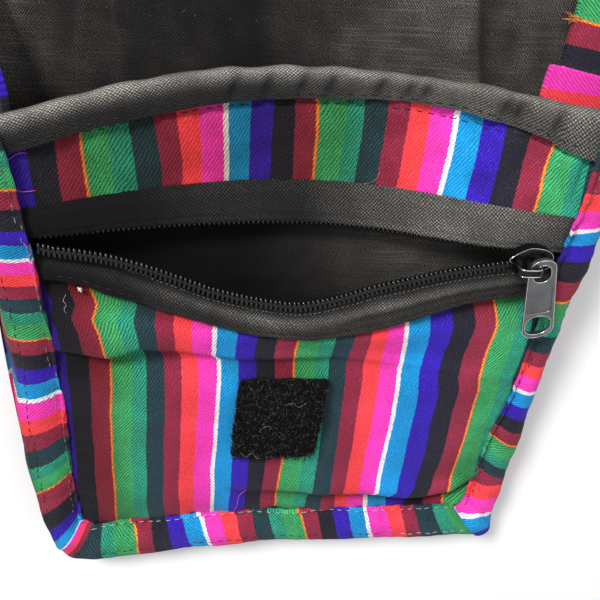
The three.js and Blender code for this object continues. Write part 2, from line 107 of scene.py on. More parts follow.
def hang_lamp(name, place, aim, size, power):
    bpy.ops.object.light_add(type="AREA", location=place)
    lamp = bpy.context.active_object
    lamp.name = name
    lamp.rotation_euler = (aim - place).to_track_quat("-Z", "Y").to_euler()
    lamp.data.size = size
    lamp.data.energy = power
    lamp.data.color = LAMP_COLOUR


hang_lamp("window_light", KEY_PLACE, KEY_AIM, KEY_SIZE, KEY_POWER)
hang_lamp("side_light", SIDE_PLACE, SIDE_AIM, SIDE_SIZE, SIDE_POWER)

sky = bpy.data.worlds.new("pale_room")
sky.use_nodes = True
background = sky.node_tree.nodes["Background"]
background.inputs["Color"].default_value = SKY_COLOUR
background.inputs["Strength"].default_value = SKY_STRENGTH
bpy.context.scene.world = sky
bpy.context.scene.view_settings.view_transform = "Standard"
print("two lamps and a sky of", SKY_STRENGTH)

# %% [markdown]
# A finish is a material made of nodes. Writing nodes by hand is long, so a small class wraps one socket.
# Adding, multiplying or raising wrapped sockets adds Math nodes, and reads like a formula.

# %% Formulas on sockets
class Signal:
    """One output socket that can be used in a formula."""

    def __init__(self, finish, socket):
        self.finish = finish
        self.socket = socket

    def _math(self, operation, other, swapped=False):
        first, second = (other, self) if swapped else (self, other)
        return self.finish.node("ShaderNodeMath", {"operation": operation}, {0: first, 1: second})

    def __add__(self, other):
        return self._math("ADD", other)

    __radd__ = __add__

    def __sub__(self, other):
        return self._math("SUBTRACT", other)

    def __rsub__(self, other):
        return self._math("SUBTRACT", other, True)

    def __mul__(self, other):
        return self._math("MULTIPLY", other)

    __rmul__ = __mul__

    def __truediv__(self, other):
        return self._math("DIVIDE", other)

    def __rtruediv__(self, other):
        return self._math("DIVIDE", other, True)

    def __pow__(self, other):
        return self._math("POWER", other)

    def wave(self):
        """A sine of turns, from 0 to 1."""
        return (self * math.tau)._math("SINE", 0.0) * 0.5 + 0.5

    def fract(self):
        return self._math("FRACT", 0.0)

    def clip(self, low, high):
        """0 below low, 1 above high."""
        ranges = {"From Min": low, "From Max": high}
        return self.finish.node("ShaderNodeMapRange", {"clamp": True}, {"Value": self, **ranges})


print("sockets can be used in formulas")

# %% [markdown]
# A second class keeps one material, adds any other node to it, and plugs results into its shader.
# Cloth reads its place from its own UV map, and noise on that place gives the unevenness of spun yarn.
# Colours are written as on a shade card and turned into the light values that the shader needs.

# %% Finishes
class Finish:
    """One material, its shader and the nodes that feed it."""

    def __init__(self, name, **constants):
        self.material = bpy.data.materials.new(name)
        self.material.use_nodes = True
        self.tree = self.material.node_tree
        self.shader = self.tree.nodes["Principled BSDF"]
        for key_name, value in constants.items():
            self.shader.inputs[key_name.replace("_", " ")].default_value = value

    def node(self, kind, settings=None, sockets=None, output=0):
        made = self.tree.nodes.new(kind)
        for key_name, value in (settings or {}).items():
            if key_name == "stops":
                self._stops(made.color_ramp, value)
            else:
                setattr(made, key_name, value)
        for key_name, value in (sockets or {}).items():
            self.plug(made.inputs[key_name], value)
        return Signal(self, made.outputs[output])

    def _stops(self, ramp, stops):
        ramp.interpolation = "CONSTANT"
        while len(ramp.elements) < len(stops):
            ramp.elements.new(0.5)
        for element, (place, colour) in zip(ramp.elements, stops):
            element.position = place
            element.color = colour

    def plug(self, socket, value):
        if isinstance(value, Signal):
            self.tree.links.new(value.socket, socket)
        else:
            socket.default_value = value

    def feed(self, **values):
        for key_name, value in values.items():
            self.plug(self.shader.inputs[key_name.replace("_", " ")], value)

    def cloth_marks(self):
        """Millimetres across and along the cloth, from its own UV map."""
        marks = self.node("ShaderNodeUVMap", {"uv_map": "cloth"})
        across = self.node("ShaderNodeSeparateXYZ", sockets={0: marks}, output=0)
        along = self.node("ShaderNodeSeparateXYZ", sockets={0: marks}, output=1)
        return across, along

    def speckle(self, across, along, detail=2.0):
        """Even noise of about one spot for each unit of across and along."""
        spot = self.node("ShaderNodeCombineXYZ", sockets={0: across, 1: along})
        settings = {"noise_dimensions": "2D"}
        return self.node("ShaderNodeTexNoise", settings, {"Vector": spot, "Scale": 1.0, "Detail": detail})

    def blend(self, share, first, second, kind="MIX"):
        settings = {"data_type": "RGBA", "blend_type": kind}
        return self.node("ShaderNodeMix", settings, {0: share, 6: first, 7: second}, output=2)

    def relief(self, height, strength, depth):
        sockets = {"Strength": strength, "Distance": depth, "Height": height}
        return self.node("ShaderNodeBump", sockets=sockets)


def dye(code):
    """A colour written as on a shade card, turned into light values."""
    parts = [int(code[i:i + 2], 16) / 255 for i in (0, 2, 4)]
    linear = [p / 12.92 if p <= 0.04045 else ((p + 0.055) / 1.055) ** 2.4 for p in parts]
    return (*linear, 1.0)


print("finishes can be mixed")

# %% [markdown]
# The striped cloth is a twill: fine ribs climb to the right across twelve dyed bands that repeat every 50 mm.
# A ramp with hard steps gives the bands, and the ribs push their edges into small teeth, as crossing yarns do.
# The cloth's own UV map counts millimetres, so stripes follow each piece however it is folded.
# Each line of the table is a band: its name, its width in millimetres, its dye and how deep its gaps look.

# %% Striped twill
STRIPES = [
    ("black", 5.2, "25232f", 0.35),
    ("burgundy", 4.8, "942d44", 0.40),
    ("rust", 0.25, "d2542c", 0.45),
    ("gold", 0.45, "fba23a", 0.45),
    ("rust_two", 0.2, "d0602e", 0.45),
    ("green", 5.2, "45b06c", 0.78),
    ("teal", 4.0, "33a283", 0.78),
    ("dark_teal", 4.8, "28424b", 0.65),
    ("burgundy_two", 4.4, "952b46", 0.40),
    ("red", 4.4, "ff464e", 0.32),
    ("pink", 4.95, "ff3fbc", 0.38),
    ("white", 1.1, "fbf9fb", 0.55),
    ("azure", 5.15, "1b99dc", 0.50),
    ("violet", 5.1, "3a20b4", 0.50),
]
STRIPE_REPEAT = sum(width for _, width, _, _ in STRIPES)
RIB_PITCH = 0.72
RIB_ANGLE = math.radians(57)
YARN_PITCH = 0.5
RUBBED_FIBRE = (0.8, 0.78, 0.8, 1.0)


def stripe_stops():
    """Places and colours for the ramp. Its fourth value carries the depth of the gaps."""
    place = 0.0
    for _, width, code, gap in STRIPES:
        yield place / STRIPE_REPEAT, (*dye(code)[:3], gap)
        place += width


def striped_twill(name):
    cloth = Finish(name, Roughness=0.85, Sheen_Weight=0.04, Sheen_Roughness=0.5)
    cloth.feed(Specular_IOR_Level=0.12)
    across, along = cloth.cloth_marks()
    over_ribs = along * math.cos(RIB_ANGLE) - across * math.sin(RIB_ANGLE)
    up_ribs = across * math.cos(RIB_ANGLE) + along * math.sin(RIB_ANGLE)
    wander = cloth.speckle(across * 0.6, along * 0.6)
    rib = (over_ribs / RIB_PITCH + wander * 0.8).wave()
    yarn = (up_ribs / YARN_PITCH + wander * 1.3).wave()
    broken = cloth.speckle(up_ribs * 0.9, over_ribs * 2.4)
    fibre = cloth.speckle(across * 3.1, along * 4.3, 3.0)
    fade = cloth.speckle(across * 0.045, along * 0.03)
    place = across + rib * 0.12 + wander * 0.4 + fibre * 0.34 - 0.43
    bands = cloth.node("ShaderNodeValToRGB", {"stops": list(stripe_stops())}, {0: (place / STRIPE_REPEAT).fract()})
    gap = Signal(cloth, bands.socket.node.outputs["Alpha"])
    # The point value read here is painted light and shade on striped cloth: it dims the dyes where the cloth should lie
    # in shade and lifts them where it should catch more light.
    painted_light = cloth.node("ShaderNodeAttribute", {"attribute_name": "wear"}, output=2)
    ribbed = 1 - (1 - rib ** 0.5) * gap * (broken.clip(0.25, 0.75) * 1.4 + 0.35) * (yarn * 1.2 + 0.35)
    shade = ribbed * (yarn * 0.3 + 0.84) * (broken * 1.1 + 0.52) * (fibre * 0.8 + 0.62) * (fade * 0.3 + 0.86)
    # The painted shade is warm: it dims blue most, and green a little more than red.
    channels = {0: shade * painted_light, 1: shade * painted_light ** 1.2, 2: shade * painted_light ** 1.5}
    dimmed = cloth.node("ShaderNodeCombineColor", sockets=channels)
    worn = cloth.blend(fibre.clip(0.62, 0.82) * 0.12, bands, RUBBED_FIBRE)
    colour = cloth.blend(1.0, worn, dimmed, "MULTIPLY")
    height = rib * 0.7 + yarn * 0.2 + fibre * 0.35
    cloth.feed(Base_Color=colour, Normal=cloth.relief(height, 0.5, 0.00022))
    return cloth.material


stripes = striped_twill("striped_twill")
print("stripe repeat", round(STRIPE_REPEAT, 2), "mm")

# %% [markdown]
# The binding, the placket and the strip under the zip are a plain black weave that has been handled a lot.
# Its yarns cross one over one, so two waves multiplied give the small squares, and pale dust sits on the high ones.
# The lining is finer, with long thicker yarns running across it.

# %% Black cloths
def black_weave(name, pitch, dark, pale, dust, slub):
    cloth = Finish(name, Roughness=0.92, Sheen_Weight=0.02, Sheen_Roughness=0.5)
    cloth.feed(Specular_IOR_Level=0.1)
    across, along = cloth.cloth_marks()
    # The point value read here is partly real dust and partly painted light and shade: more dust greys the black where
    # it should catch light, less leaves it dark where it should lie in shade.
    wear_and_light_value = cloth.node("ShaderNodeAttribute", {"attribute_name": "wear"}, output=2)
    drift = cloth.speckle(across * 0.8, along * 0.8) * 0.5
    over = (across / pitch[0] + drift).wave()
    under = (along / pitch[1] + drift).wave()
    square = over * under + (1 - over) * (1 - under)
    fibre = cloth.speckle(across * 3.3, along * 3.3, 3.0)
    thick = cloth.speckle(across * 0.06, along * 1.9, 1.0).clip(0.5, 0.75)
    cloud = cloth.speckle(across * 0.09, along * 0.09)
    dusty = (square ** 2.0) * fibre.clip(0.25, 0.7) * (cloud * 1.4 + 0.3)
    share = (dusty * dust + dust * 0.05 + thick * slub * wear_and_light_value * 1.2) * wear_and_light_value
    colour = cloth.blend(share, dye(dark), dye(pale))
    height = square * 0.7 + fibre * 0.4 + thick * 0.4
    cloth.feed(Base_Color=colour, Normal=cloth.relief(height, 0.45, 0.0002))
    return cloth.material


black_cloth = black_weave("black_binding_cloth", (0.86, 0.86), "0f0e10", "c4bfb7", 1.14, 0.0)
lining_cloth = black_weave("black_lining_cloth", (0.62, 0.86), "0c0b0d", "b2aba2", 0.92, 0.15)
print("black cloths:", black_cloth.name, lining_cloth.name)

# %% [markdown]
# Nylon coil, gunmetal, pile and thread are small, so each needs only a little variation.
# Gunmetal is dark plating over a casting: smooth clouds in its roughness keep the glints from looking new.

# %% Nylon, metal, pile and thread
def plain_finish(name, dark, pale, spot, rough, **constants):
    """Two close colours in soft spots, with the roughness following them."""
    made = Finish(name, **constants)
    where = made.node("ShaderNodeTexCoord", output=3)
    noise = made.node("ShaderNodeTexNoise", sockets={"Vector": where, "Scale": 1 / (spot * MM), "Detail": 3.0})
    share = noise.clip(0.3, 0.7)
    made.feed(Base_Color=made.blend(share, dye(dark), dye(pale)), Roughness=share * 0.12 + rough)
    made.feed(Normal=made.relief(noise, 0.15, 0.0001))
    return made.material


nylon = plain_finish("black_nylon", "09090a", "151517", 1.2, 0.14, Specular_IOR_Level=0.6)
gunmetal = plain_finish("gunmetal", "808082", "939395", 4.0, 0.34, Metallic=1.0)
# The darker gunmetal of the slider and its bridge is a painted reflection: its dark colour stands for dark
# surroundings.
dark_reflection_metal = plain_finish("gunmetal_dark_reflection", "2c2c2e", "3e3e40", 4.0, 0.26, Metallic=1.0)
# Bright bare metal for thin edge threads: partly metal bared by wear, partly a painted highlight of the edges' glints.
glint_metal = plain_finish("worn_edge_glint", "d2d2d2", "f2f2f0", 2.0, 0.16, Metallic=1.0)
pile = plain_finish("loop_pile", "101010", "222221", 0.7, 0.9, Specular_IOR_Level=0.06)
lint = plain_finish("pale_lint", "3a3937", "686661", 0.7, 0.9, Specular_IOR_Level=0.1)
pale_thread = plain_finish("pale_thread", "8f8a86", "cbc6c0", 0.6, 0.6)
dim_thread = plain_finish("dim_thread", "4e4b4c", "9a9590", 0.6, 0.6)
white_thread = plain_finish("white_thread", "c9c4bc", "f2efe9", 0.6, 0.6)
black_thread = plain_finish("black_thread", "060607", "101012", 0.6, 0.6)
pink_thread = plain_finish("pink_thread", "a83a70", "d8649c", 0.6, 0.6)
orange_thread = plain_finish("orange_thread", "c8662e", "ec9a55", 0.6, 0.6)
floor_finish = plain_finish("table_top", "fcfcfc", "ffffff", 60.0, 0.7)
floor.data.materials.append(floor_finish)
print("small finishes ready")

# %% [markdown]
# The front is one soft surface described by lines across the bag, from the mouth edge to the bottom seam.
# Each line has a place at its left end, middle and right end, and values between lines follow a smooth curve.
# These are the same tables as in the CAD source, so that cloth made from them lies on the CAD solids.
# A line's numbers are its two ends in X, three places in Y, three heights, and how far its bend spreads on each side.
# A fold's numbers are its middle, its reach in X and Y, and its rise.

# %% Lines of the front
FRONT_LINES = {
    "mouth_edge": ((-66.4, 65.4), (77.3, 87.5, 82.5), (27.0, 15.0, 27.0), (2.0, 2.0)),
    "band_top": ((-65.8, 65.0), (71.0, 80.4, 73.0), (27.0, 15.5, 27.0), (1.0, 1.3)),
    "band_low": ((-63.6, 64.0), (57.0, 62.0, 57.5), (26.0, 17.0, 26.0), (1.6, 0.8)),
    "placket_low": ((-62.8, 63.0), (50.5, 52.7, 48.7), (25.0, 18.0, 24.6), (1.6, 0.62)),
    "lip_edge": ((-62.4, 62.8), (47.8, 34.6, 45.3), (24.0, 26.0, 23.6), (0.55, 0.55)),
    "lip_low": ((-62.5, 63.2), (37.8, 24.9, 35.2), (22.5, 25.0, 22.5), (0.6, 0.64)),
    "crease": ((-62.6, 63.4), (17.6, 16.7, 10.0), (19.5, 21.2, 18.6), (2.0, 2.0)),
    "chest": ((-62.7, 63.0), (4.0, 4.0, 0.0), (17.5, 22.0, 17.0), (2.0, 2.0)),
    "belly": ((-62.6, 60.6), (-20.0, -20.0, -20.0), (14.0, 18.6, 13.6), (2.0, 2.0)),
    "kink": ((-62.0, 58.6), (-44.0, -41.5, -41.5), (11.0, 14.0, 10.6), (2.0, 2.0)),
    "bottom_seam": ((-60.0, 57.4), (-56.5, -50.4, -50.4), (9.3, 8.5, 9.3), (2.0, 2.0)),
}
FRONT_FOLDS = [
    ("left_fold", -47.0, 24.0, 16.0, 7.0, 2.4),
    ("left_hollow", -44.0, 13.0, 18.0, 5.0, -1.6),
    ("right_hollow", 42.0, 14.0, 16.0, 7.0, -1.4),
    ("corner_dent", 47.0, -36.0, 9.0, 10.0, -1.8),
    ("corner_puff", -42.0, -40.0, 13.0, 9.0, 1.3),
    ("lip_pull", 2.0, 30.0, 18.0, 6.0, 1.2),
]
LINE_NAMES = list(FRONT_LINES)
BAND_LOW, PLACKET_LOW, LIP_EDGE, LIP_LOW, BOTTOM_SEAM = (
    float(LINE_NAMES.index(n)) for n in ("band_low", "placket_low", "lip_edge", "lip_low", "bottom_seam"))
print("front from", LINE_NAMES[0], "to", LINE_NAMES[-1])

# %% [markdown]
# Between the lines the cloth is smooth, so each value runs on a cubic through its neighbours.
# Along a line the middle and the ends are joined by a bell curve, which can hang flat or sag.
# A few soft bumps add the larger folds, and halving finds the height of the front under any point.

# %% Surface of the front
HALVINGS = 24


def between_rows(column, position):
    """A smooth value between the rows of one column."""
    column = np.asarray(column, float)
    last = len(column) - 1
    low = np.clip(np.floor(position).astype(int), 0, last - 1)
    before, start, end, after = (column[np.clip(low + i, 0, last)] for i in (-1, 0, 1, 2))
    t = position - low
    pull = (end - before) / 2
    push = (after - start) / 2
    bend = 2 * (start - end) + pull + push
    sag = 3 * (end - start) - 2 * pull - push
    return ((bend * t + sag) * t + pull) * t + start


def line_value(part, end, position):
    """One entry of the front's table, smooth between the lines."""
    return between_rows([row[part][end] for row in FRONT_LINES.values()], position)


def over_line(position, s, part):
    """One coordinate along a line: s is -1 at its left end, 0 in the middle and 1 at its right end."""
    left = s < 0
    side = np.where(left, line_value(part, 0, position), line_value(part, 2, position))
    middle = line_value(part, 1, position)
    spread = np.where(left, line_value(3, 0, position), line_value(3, 1, position))
    share = (1 - np.exp(-(s / spread) ** 2)) / (1 - np.exp(-1 / spread ** 2))
    return middle + (side - middle) * share


def bump(distance, reach):
    return np.exp(-(distance / reach) ** 2)


def smoothstep(x, low, high):
    t = np.clip((x - low) / (high - low), 0, 1)
    return t * t * (3 - 2 * t)


def front(u, position):
    """Points of the front in millimetres: u across it, position down the named lines."""
    u = np.asarray(u, float)
    position = np.asarray(position, float) + 0 * u
    s = 2 * u - 1
    left = line_value(0, 0, position)
    x = left + (line_value(0, 1, position) - left) * u
    y = over_line(position, s, 1)
    lift = sum(rise * bump(x - fx, rx) * bump(y - fy, ry) for _, fx, fy, rx, ry, rise in FRONT_FOLDS)
    z = over_line(position, s, 2) + (1 - s ** 8) * lift
    return np.stack([x, y, z], axis=-1)


def front_place(x, y):
    """Share across and line position of the front under a point, found by halving."""
    x, y = np.broadcast_arrays(np.asarray(x, float), np.asarray(y, float))
    high = np.zeros_like(x)
    low = np.full_like(x, BOTTOM_SEAM)
    for _ in range(HALVINGS):
        position = (high + low) / 2
        left, right = line_value(0, 0, position), line_value(0, 1, position)
        u = np.clip((x - left) / (right - left), 0, 1)
        above = front(u, position)[..., 1] > y
        high = np.where(above, position, high)
        low = np.where(above, low, position)
    return u, position


def front_height(x, y):
    return front(*front_place(x, y))[..., 2]


print("middle of the chest at", front(0.5, LINE_NAMES.index("chest")).round(1), "mm")

# %% [markdown]
# Every piece of cloth starts as Blender's flat grid. Its points move to a surface given by a formula,
# then out along their normals by a fine relief of folds and puckers, and a Solidify modifier gives the cloth its ply.
# The grid's UV map is rewritten in millimetres, so that the weave keeps its scale. Where a tuck hides part of the
# pattern, a face would stretch it, so such a face takes the marks of one side. A value for each point dims
# or brightens the dyes as painted light and shade, or lays dust on black cloth, partly real dust and partly painted
# light and shade.

# %% Cloth builder
FOLD_JUMP = 8.0
MOST_WEAR_AND_LIGHT = 1.4
EDGE_ANGLE = math.radians(65)


def ripple(x, y, wave, seed, count=7):
    """Soft uneven waves of about one millimetre, as in cloth that was folded away."""
    draw = np.random.default_rng(seed)
    total = 0.0
    for _ in range(count):
        turned, length, phase = draw.uniform(0, math.tau), wave * draw.uniform(0.7, 1.5), draw.uniform(0, math.tau)
        total = total + np.sin(math.tau * (x * math.cos(turned) + y * math.sin(turned)) / length + phase)
    return total / math.sqrt(count)


def finish_piece(piece, finish, body="bag", nodes=()):
    piece.data.materials.clear()
    piece.data.materials.append(finish)
    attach(piece, body)
    if nodes:
        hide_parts(*nodes)


def apply_all(piece):
    bpy.context.view_layer.objects.active = piece
    for modifier in list(piece.modifiers):
        bpy.ops.object.modifier_apply(modifier=modifier.name)


def lay_cloth(name, surface, cells, ply, marks, relief=None, edge=0.3, wear=None):
    """A piece of cloth: surface, relief and marks take u and v; all lengths are in millimetres."""
    clear_selection()
    bpy.ops.mesh.primitive_grid_add(x_subdivisions=cells[0], y_subdivisions=cells[1], size=1)
    piece = bpy.context.active_object
    piece.name = name
    mesh = piece.data
    flat = np.empty(len(mesh.vertices) * 3)
    mesh.vertices.foreach_get("co", flat)
    u, v = flat[0::3] + 0.5, flat[1::3] + 0.5
    place = surface(u, v)
    mesh.vertices.foreach_set("co", (place * MM).ravel())
    mesh.update()
    if relief is not None:
        normals = np.empty(len(mesh.vertices) * 3)
        mesh.vertex_normals.foreach_get("vector", normals)
        place = place + normals.reshape(-1, 3) * relief(u, v, place)[:, None]
        mesh.vertices.foreach_set("co", (place * MM).ravel())
        mesh.update()
    corners = np.empty(len(mesh.loops), int)
    mesh.loops.foreach_get("vertex_index", corners)
    across, along = marks(u, v, place)
    layer = mesh.uv_layers[0]
    layer.name = "cloth"
    drawn = np.stack([across, along], -1)[corners].reshape(-1, 4, 2)
    folded = np.ptp(drawn[:, :, 0], axis=1) > FOLD_JUMP
    drawn[folded, :, 0] = drawn[folded, :, 0].max(axis=1)[:, None]
    layer.data.foreach_set("uv", drawn.ravel())
    wear_and_light_value = mesh.attributes.new("wear", "FLOAT", "POINT")
    wear_and_light_value.data.foreach_set("value", np.clip(wear(u, v, place), 0, MOST_WEAR_AND_LIGHT) if wear else np.ones(len(u)))
    solid = piece.modifiers.new("ply", "SOLIDIFY")
    solid.thickness = ply * MM
    solid.offset = 0.0
    if edge:
        rounded = piece.modifiers.new("edge", "BEVEL")
        rounded.width = edge * ply * MM
        rounded.segments = 2
        rounded.limit_method = "ANGLE"
        rounded.angle_limit = EDGE_ANGLE
    apply_all(piece)
    bpy.ops.object.shade_smooth()
    print(name, len(piece.data.polygons), "faces")
    return piece


def run_length(points):
    """Length along a row of points, starting at 0."""
    steps = np.linalg.norm(np.diff(points, axis=0), axis=1)
    return np.concatenate([[0.0], np.cumsum(steps)])


def graded(x, table):
    """A value that runs straight between the table's pairs of a place and a value."""
    return np.interp(x, *zip(*table))


def fold_shade_patches(x, y, wave, seed, depth=0.08):
    """Soft darker and paler patches of painted shade, as gentle waves in the cloth would give."""
    return 1 + depth * ripple(x, y, wave, seed)


def flat_marks(u, v, place):
    """Marks for cloth that lies flat: its weave follows X and Y."""
    return place[:, 0], place[:, 1]


print("cloth builder ready")

# %% [markdown]
# The band under the mouth is straight striped cloth. It runs up inside the binding and down behind the placket,
# so its raw edges never show. A row of stitches dents it just below the binding. The table gives each stripe's place
# at the placket and at the binding, because the stripes lean a little.

# %% Front band
STRIPE_AT_ORANGE = 10.45
BAND_ORANGE_X = 2.2
BAND_STRIPES = (
    (-50.0, -59.5, -59.8), (-39.55, -47.8, -49.0), (-33.9, -42.6, -43.1), (-29.9, -38.2, -38.4),
    (-20.7, -29.0, -28.9), (-10.8, -17.9, -17.9), (0.0, -8.4, -7.6), (10.45, 1.4, 1.2), (16.1, 7.9, 8.0),
    (29.3, 21.6, 22.3), (39.2, 31.85, 32.75), (50.0, 42.9, 43.7), (60.45, 52.5, 54.6), (66.1, 58.6, 59.7))


def slide_stripes(x, lines):
    """Marks across a cloth from lines on it, each a stripe value and the place where it lies."""
    across = lines[0][0] + x - lines[0][1]
    for (stripe, here), (next_stripe, there) in zip(lines, lines[1:]):
        across = np.where(x > here, stripe + (next_stripe - stripe) * (x - here) / (there - here), across)
    stripe, here = lines[-1]
    return np.where(x > here, stripe + x - here, across)


BAND_UNDER = 0.12
SEAM_BELOW = 0.17
BAND_SPAN = 1.6
BAND_SHOWN = 0.937
# Painted light across the band: darker on its left and middle, where it should lie in shade, brighter on its right.
BAND_PAINTED_LIGHT = (
    (-66, 0.64), (-40, 0.58), (-22, 0.57), (-14, 0.46), (-4, 0.5), (10, 0.64), (25, 0.9), (36, 1.06))
BINDING_REACH = (
    (0.04, 1.06), (0.105, 0.99), (0.15, 0.955), (0.32, 0.945), (0.49, 0.935), (0.6, 0.86), (0.664, 0.79),
    (0.76, 0.78), (0.8, 0.82), (0.855, 0.85), (0.89, 0.88), (0.93, 1.02), (0.97, 1.06))


def band_surface(u, v):
    return front(u, BAND_LOW + BAND_UNDER - BAND_SPAN * v)


def binding_foot(u, below=0.0):
    """Where the binding's front edge ends on the band, or a line below it."""
    reach = graded(u, BINDING_REACH)
    return front(u, reach + below * np.interp(reach, (0.8, 1.0), (1.0, 0.33)))


def band_relief(u, v, place):
    x, y = place[:, 0], place[:, 1]
    seam = binding_foot(u, SEAM_BELOW)[:, 1]
    pucker = 0.22 * np.sin(math.tau * x / 4.6 + 1.3 * ripple(x, y, 16, 3)) * bump(y - seam, 2.6)
    tuck = 0.9 * bump(x - 60.2 - 0.1 * (y - 55), 0.8) * smoothstep(v, 0.1, 0.5)
    return 0.32 * ripple(x, y, 17, 5) + pucker - tuck - 0.32 * bump(y - seam, 0.6) - 0.35


def band_marks(u, v, place):
    x, y = place[:, 0], place[:, 1]
    height = (v * BAND_SPAN - BAND_UNDER) / BAND_SHOWN
    lines = [(stripe, low + (top - low) * height) for stripe, low, top in BAND_STRIPES]
    return slide_stripes(x, lines) + 0.5 * ripple(x, y, 30, 8), y - 0.06 * x


def band_painted_light(u, v, place):
    x, y = place[:, 0], place[:, 1]
    return graded(x, BAND_PAINTED_LIGHT) * fold_shade_patches(x, y, 10, 6)


band = lay_cloth("band_cloth", band_surface, (170, 30), 1.0, band_marks, band_relief, wear=band_painted_light)
finish_piece(band, stripes, nodes=["front_band"])

# %% [markdown]
# The pocket front is the same cloth, sewn in under the strip below the zip. Its slack hangs over in one long fold,
# and its lower edge bulges over the bottom seam. A sharp step in the relief makes the fold's underside fall in shade.
# Each fold has a row of places in X, its place in Y there and its drop. Five stripes are followed down the panel by
# pairs of Y and X, so that the pattern slides sideways where the cloth is pushed over.

# %% Pocket front
CREASE_X = (-64, -59, -47, -39, -30, -20, -14, -4, 10, 33, 50, 64)
CREASE_Y = (17.6, 17.3, 15.7, 19.4, 18.0, 16.1, 15.6, 16.0, 16.4, 12.0, 8.0, 6.5)
CREASE_DROP = (0.6, 1.8, 3.0, 2.4, 2.0, 1.8, 2.0, 2.2, 1.5, 0.9, 0.8, 0.4)
HEM_FOLD_X = (-19, -13, 4, 23, 43, 52, 59, 64)
HEM_FOLD_Y = (-32.0, -34.2, -36.2, -39.1, -44.3, -41.3, -32.9, -26.0)
HEM_FOLD_DROP = (0.0, 1.0, 1.5, 1.9, 2.5, 2.6, 2.0, 0.6)
PANEL_STRIPES = {
    "left_orange": (-39.55, ((-54, -51.1), (-33, -49.9), (-16, -49.1), (5, -47.5), (14, -47.5), (24, -48.3),
                             (28, -49.7), (32, -48.4), (36, -50.1))),
    "left_white": (-10.8, ((-41, -21.7), (-26, -21.3), (-5, -20.1), (9, -19.5), (14.5, -19.7), (16.4, -21.0),
                           (20, -21.0), (28, -20.5))),
    "middle_orange": (10.45, ((-43, -2.7), (-31, -2.2), (-20, -1.6), (10, -0.5), (18, -0.5), (25, 0.3))),
    "right_white": (39.2, ((-51, 25.9), (-41, 24.9), (-38.6, 27.8), (-14, 27.7), (5, 27.5), (20, 27.8),
                           (28, 27.2))),
    "right_orange": (60.45, ((-45, 51.2), (-18, 51.1), (4, 51.1), (8, 50.1), (26, 51.1), (34, 48.7))),
}
PANEL_UNDER_LIP = 0.35
PANEL_WIDTH = 122
# Painted light across the pocket front: dark near its left seam, brighter towards the right.
PANEL_PAINTED_LIGHT = (
    (-64, 0.52), (-56, 0.58), (-50, 0.7), (-45, 0.94), (-15, 1.0), (15, 1.06), (40, 1.15), (60, 1.12))


def panel_surface(u, v):
    top = LIP_LOW - PANEL_UNDER_LIP
    return front(u * 1.02 - 0.01, BOTTOM_SEAM + (top - BOTTOM_SEAM) * v)


def panel_folds(x, y):
    """Distance above the crease and below the hem fold, and the drop of both."""
    above, below = y - np.interp(x, CREASE_X, CREASE_Y), np.interp(x, HEM_FOLD_X, HEM_FOLD_Y) - y
    return above, np.interp(x, CREASE_X, CREASE_DROP), below, np.interp(x, HEM_FOLD_X, HEM_FOLD_DROP)


def panel_relief(u, v, place):
    x, y = place[:, 0], place[:, 1]
    above, drop, below, sink = panel_folds(x, y)
    step = (np.tanh(above / 1.3) + 1) / 2 * np.exp(-np.maximum(above, 0) / 8) * drop
    valley = -0.45 * drop * bump(above + 2.4, 3.0)
    hem = sink * (0.45 * bump(below + 2.6, 3.6) - bump(below - 2.8, 3.2) * (np.tanh(below / 0.8) + 1) / 2)
    side = np.minimum(u, 1 - u) * PANEL_WIDTH
    pucker = 0.3 * np.sin(math.tau * y / 6.4 + 1.5 * ripple(x, y, 20, 11)) * np.exp(-side / 4)
    foot = y - front(u, BOTTOM_SEAM)[:, 1]
    gather = 0.4 * np.sin(math.tau * x / 8.6 + 1.6 * ripple(x, y, 25, 12)) * np.exp(-foot / 6)
    soft = 0.38 * ripple(x, y, 26, 14) + 0.1 * ripple(x, y, 8, 15)
    under_lip = 1.3 * smoothstep(v, 0.885, 0.935)
    return step + valley + hem + pucker + gather + soft - 0.3 - under_lip


def panel_marks(u, v, place):
    x, y = place[:, 0], place[:, 1]
    lines = [(stripe, graded(y, track)) for stripe, track in PANEL_STRIPES.values()]
    return slide_stripes(x, lines) + 0.2 * ripple(x, y, 20, 17), y


def panel_painted_light(u, v, place):
    # Painted shade under the crease, under the hem fold, in the right bottom corner and under the lip's edge, over
    # painted light that grows to the right and patches of painted shade.
    x, y = place[:, 0], place[:, 1]
    above, _, below, sink = panel_folds(x, y)
    depth = 0.12 + 0.3 * bump(x + 50, 9) + 0.35 * bump(x + 5, 10)
    shaded = depth * bump(above + 3.6, 5.5) * (1 - (np.tanh(above / 0.9) + 1) / 2)
    hem_shade = 0.8 * sink / max(HEM_FOLD_DROP) * bump(below - 1.5, 4.0) * (np.tanh(below / 0.6) + 1) / 2
    corner = 0.45 * bump(x - 55, 5) * bump(y + 34, 12)
    side = graded(x, PANEL_PAINTED_LIGHT) * fold_shade_patches(x, y, 15, 15, 0.07)
    under_lip = 1 - 0.55 * smoothstep(v, 0.88, 0.94)
    return side * under_lip * (1 - shaded) * (1 - hem_shade) * (1 - corner)


panel = lay_cloth("pocket_cloth", panel_surface, (210, 170), 1.0, panel_marks, panel_relief, wear=panel_painted_light)
finish_piece(panel, stripes, nodes=["pocket_panel"])

# %% [markdown]
# The side strip is one long piece of the same cloth cut the other way, so its stripes cross it.
# Its inner edge is folded and lapped over the front, and its outer edge is a flange on the back.
# Stations round the bag give the seam on the front, the foot on the table, how far out the top edge is, the seam's
# height, the thickness of the lap and the bulge of the wall. A smooth profile joins them.

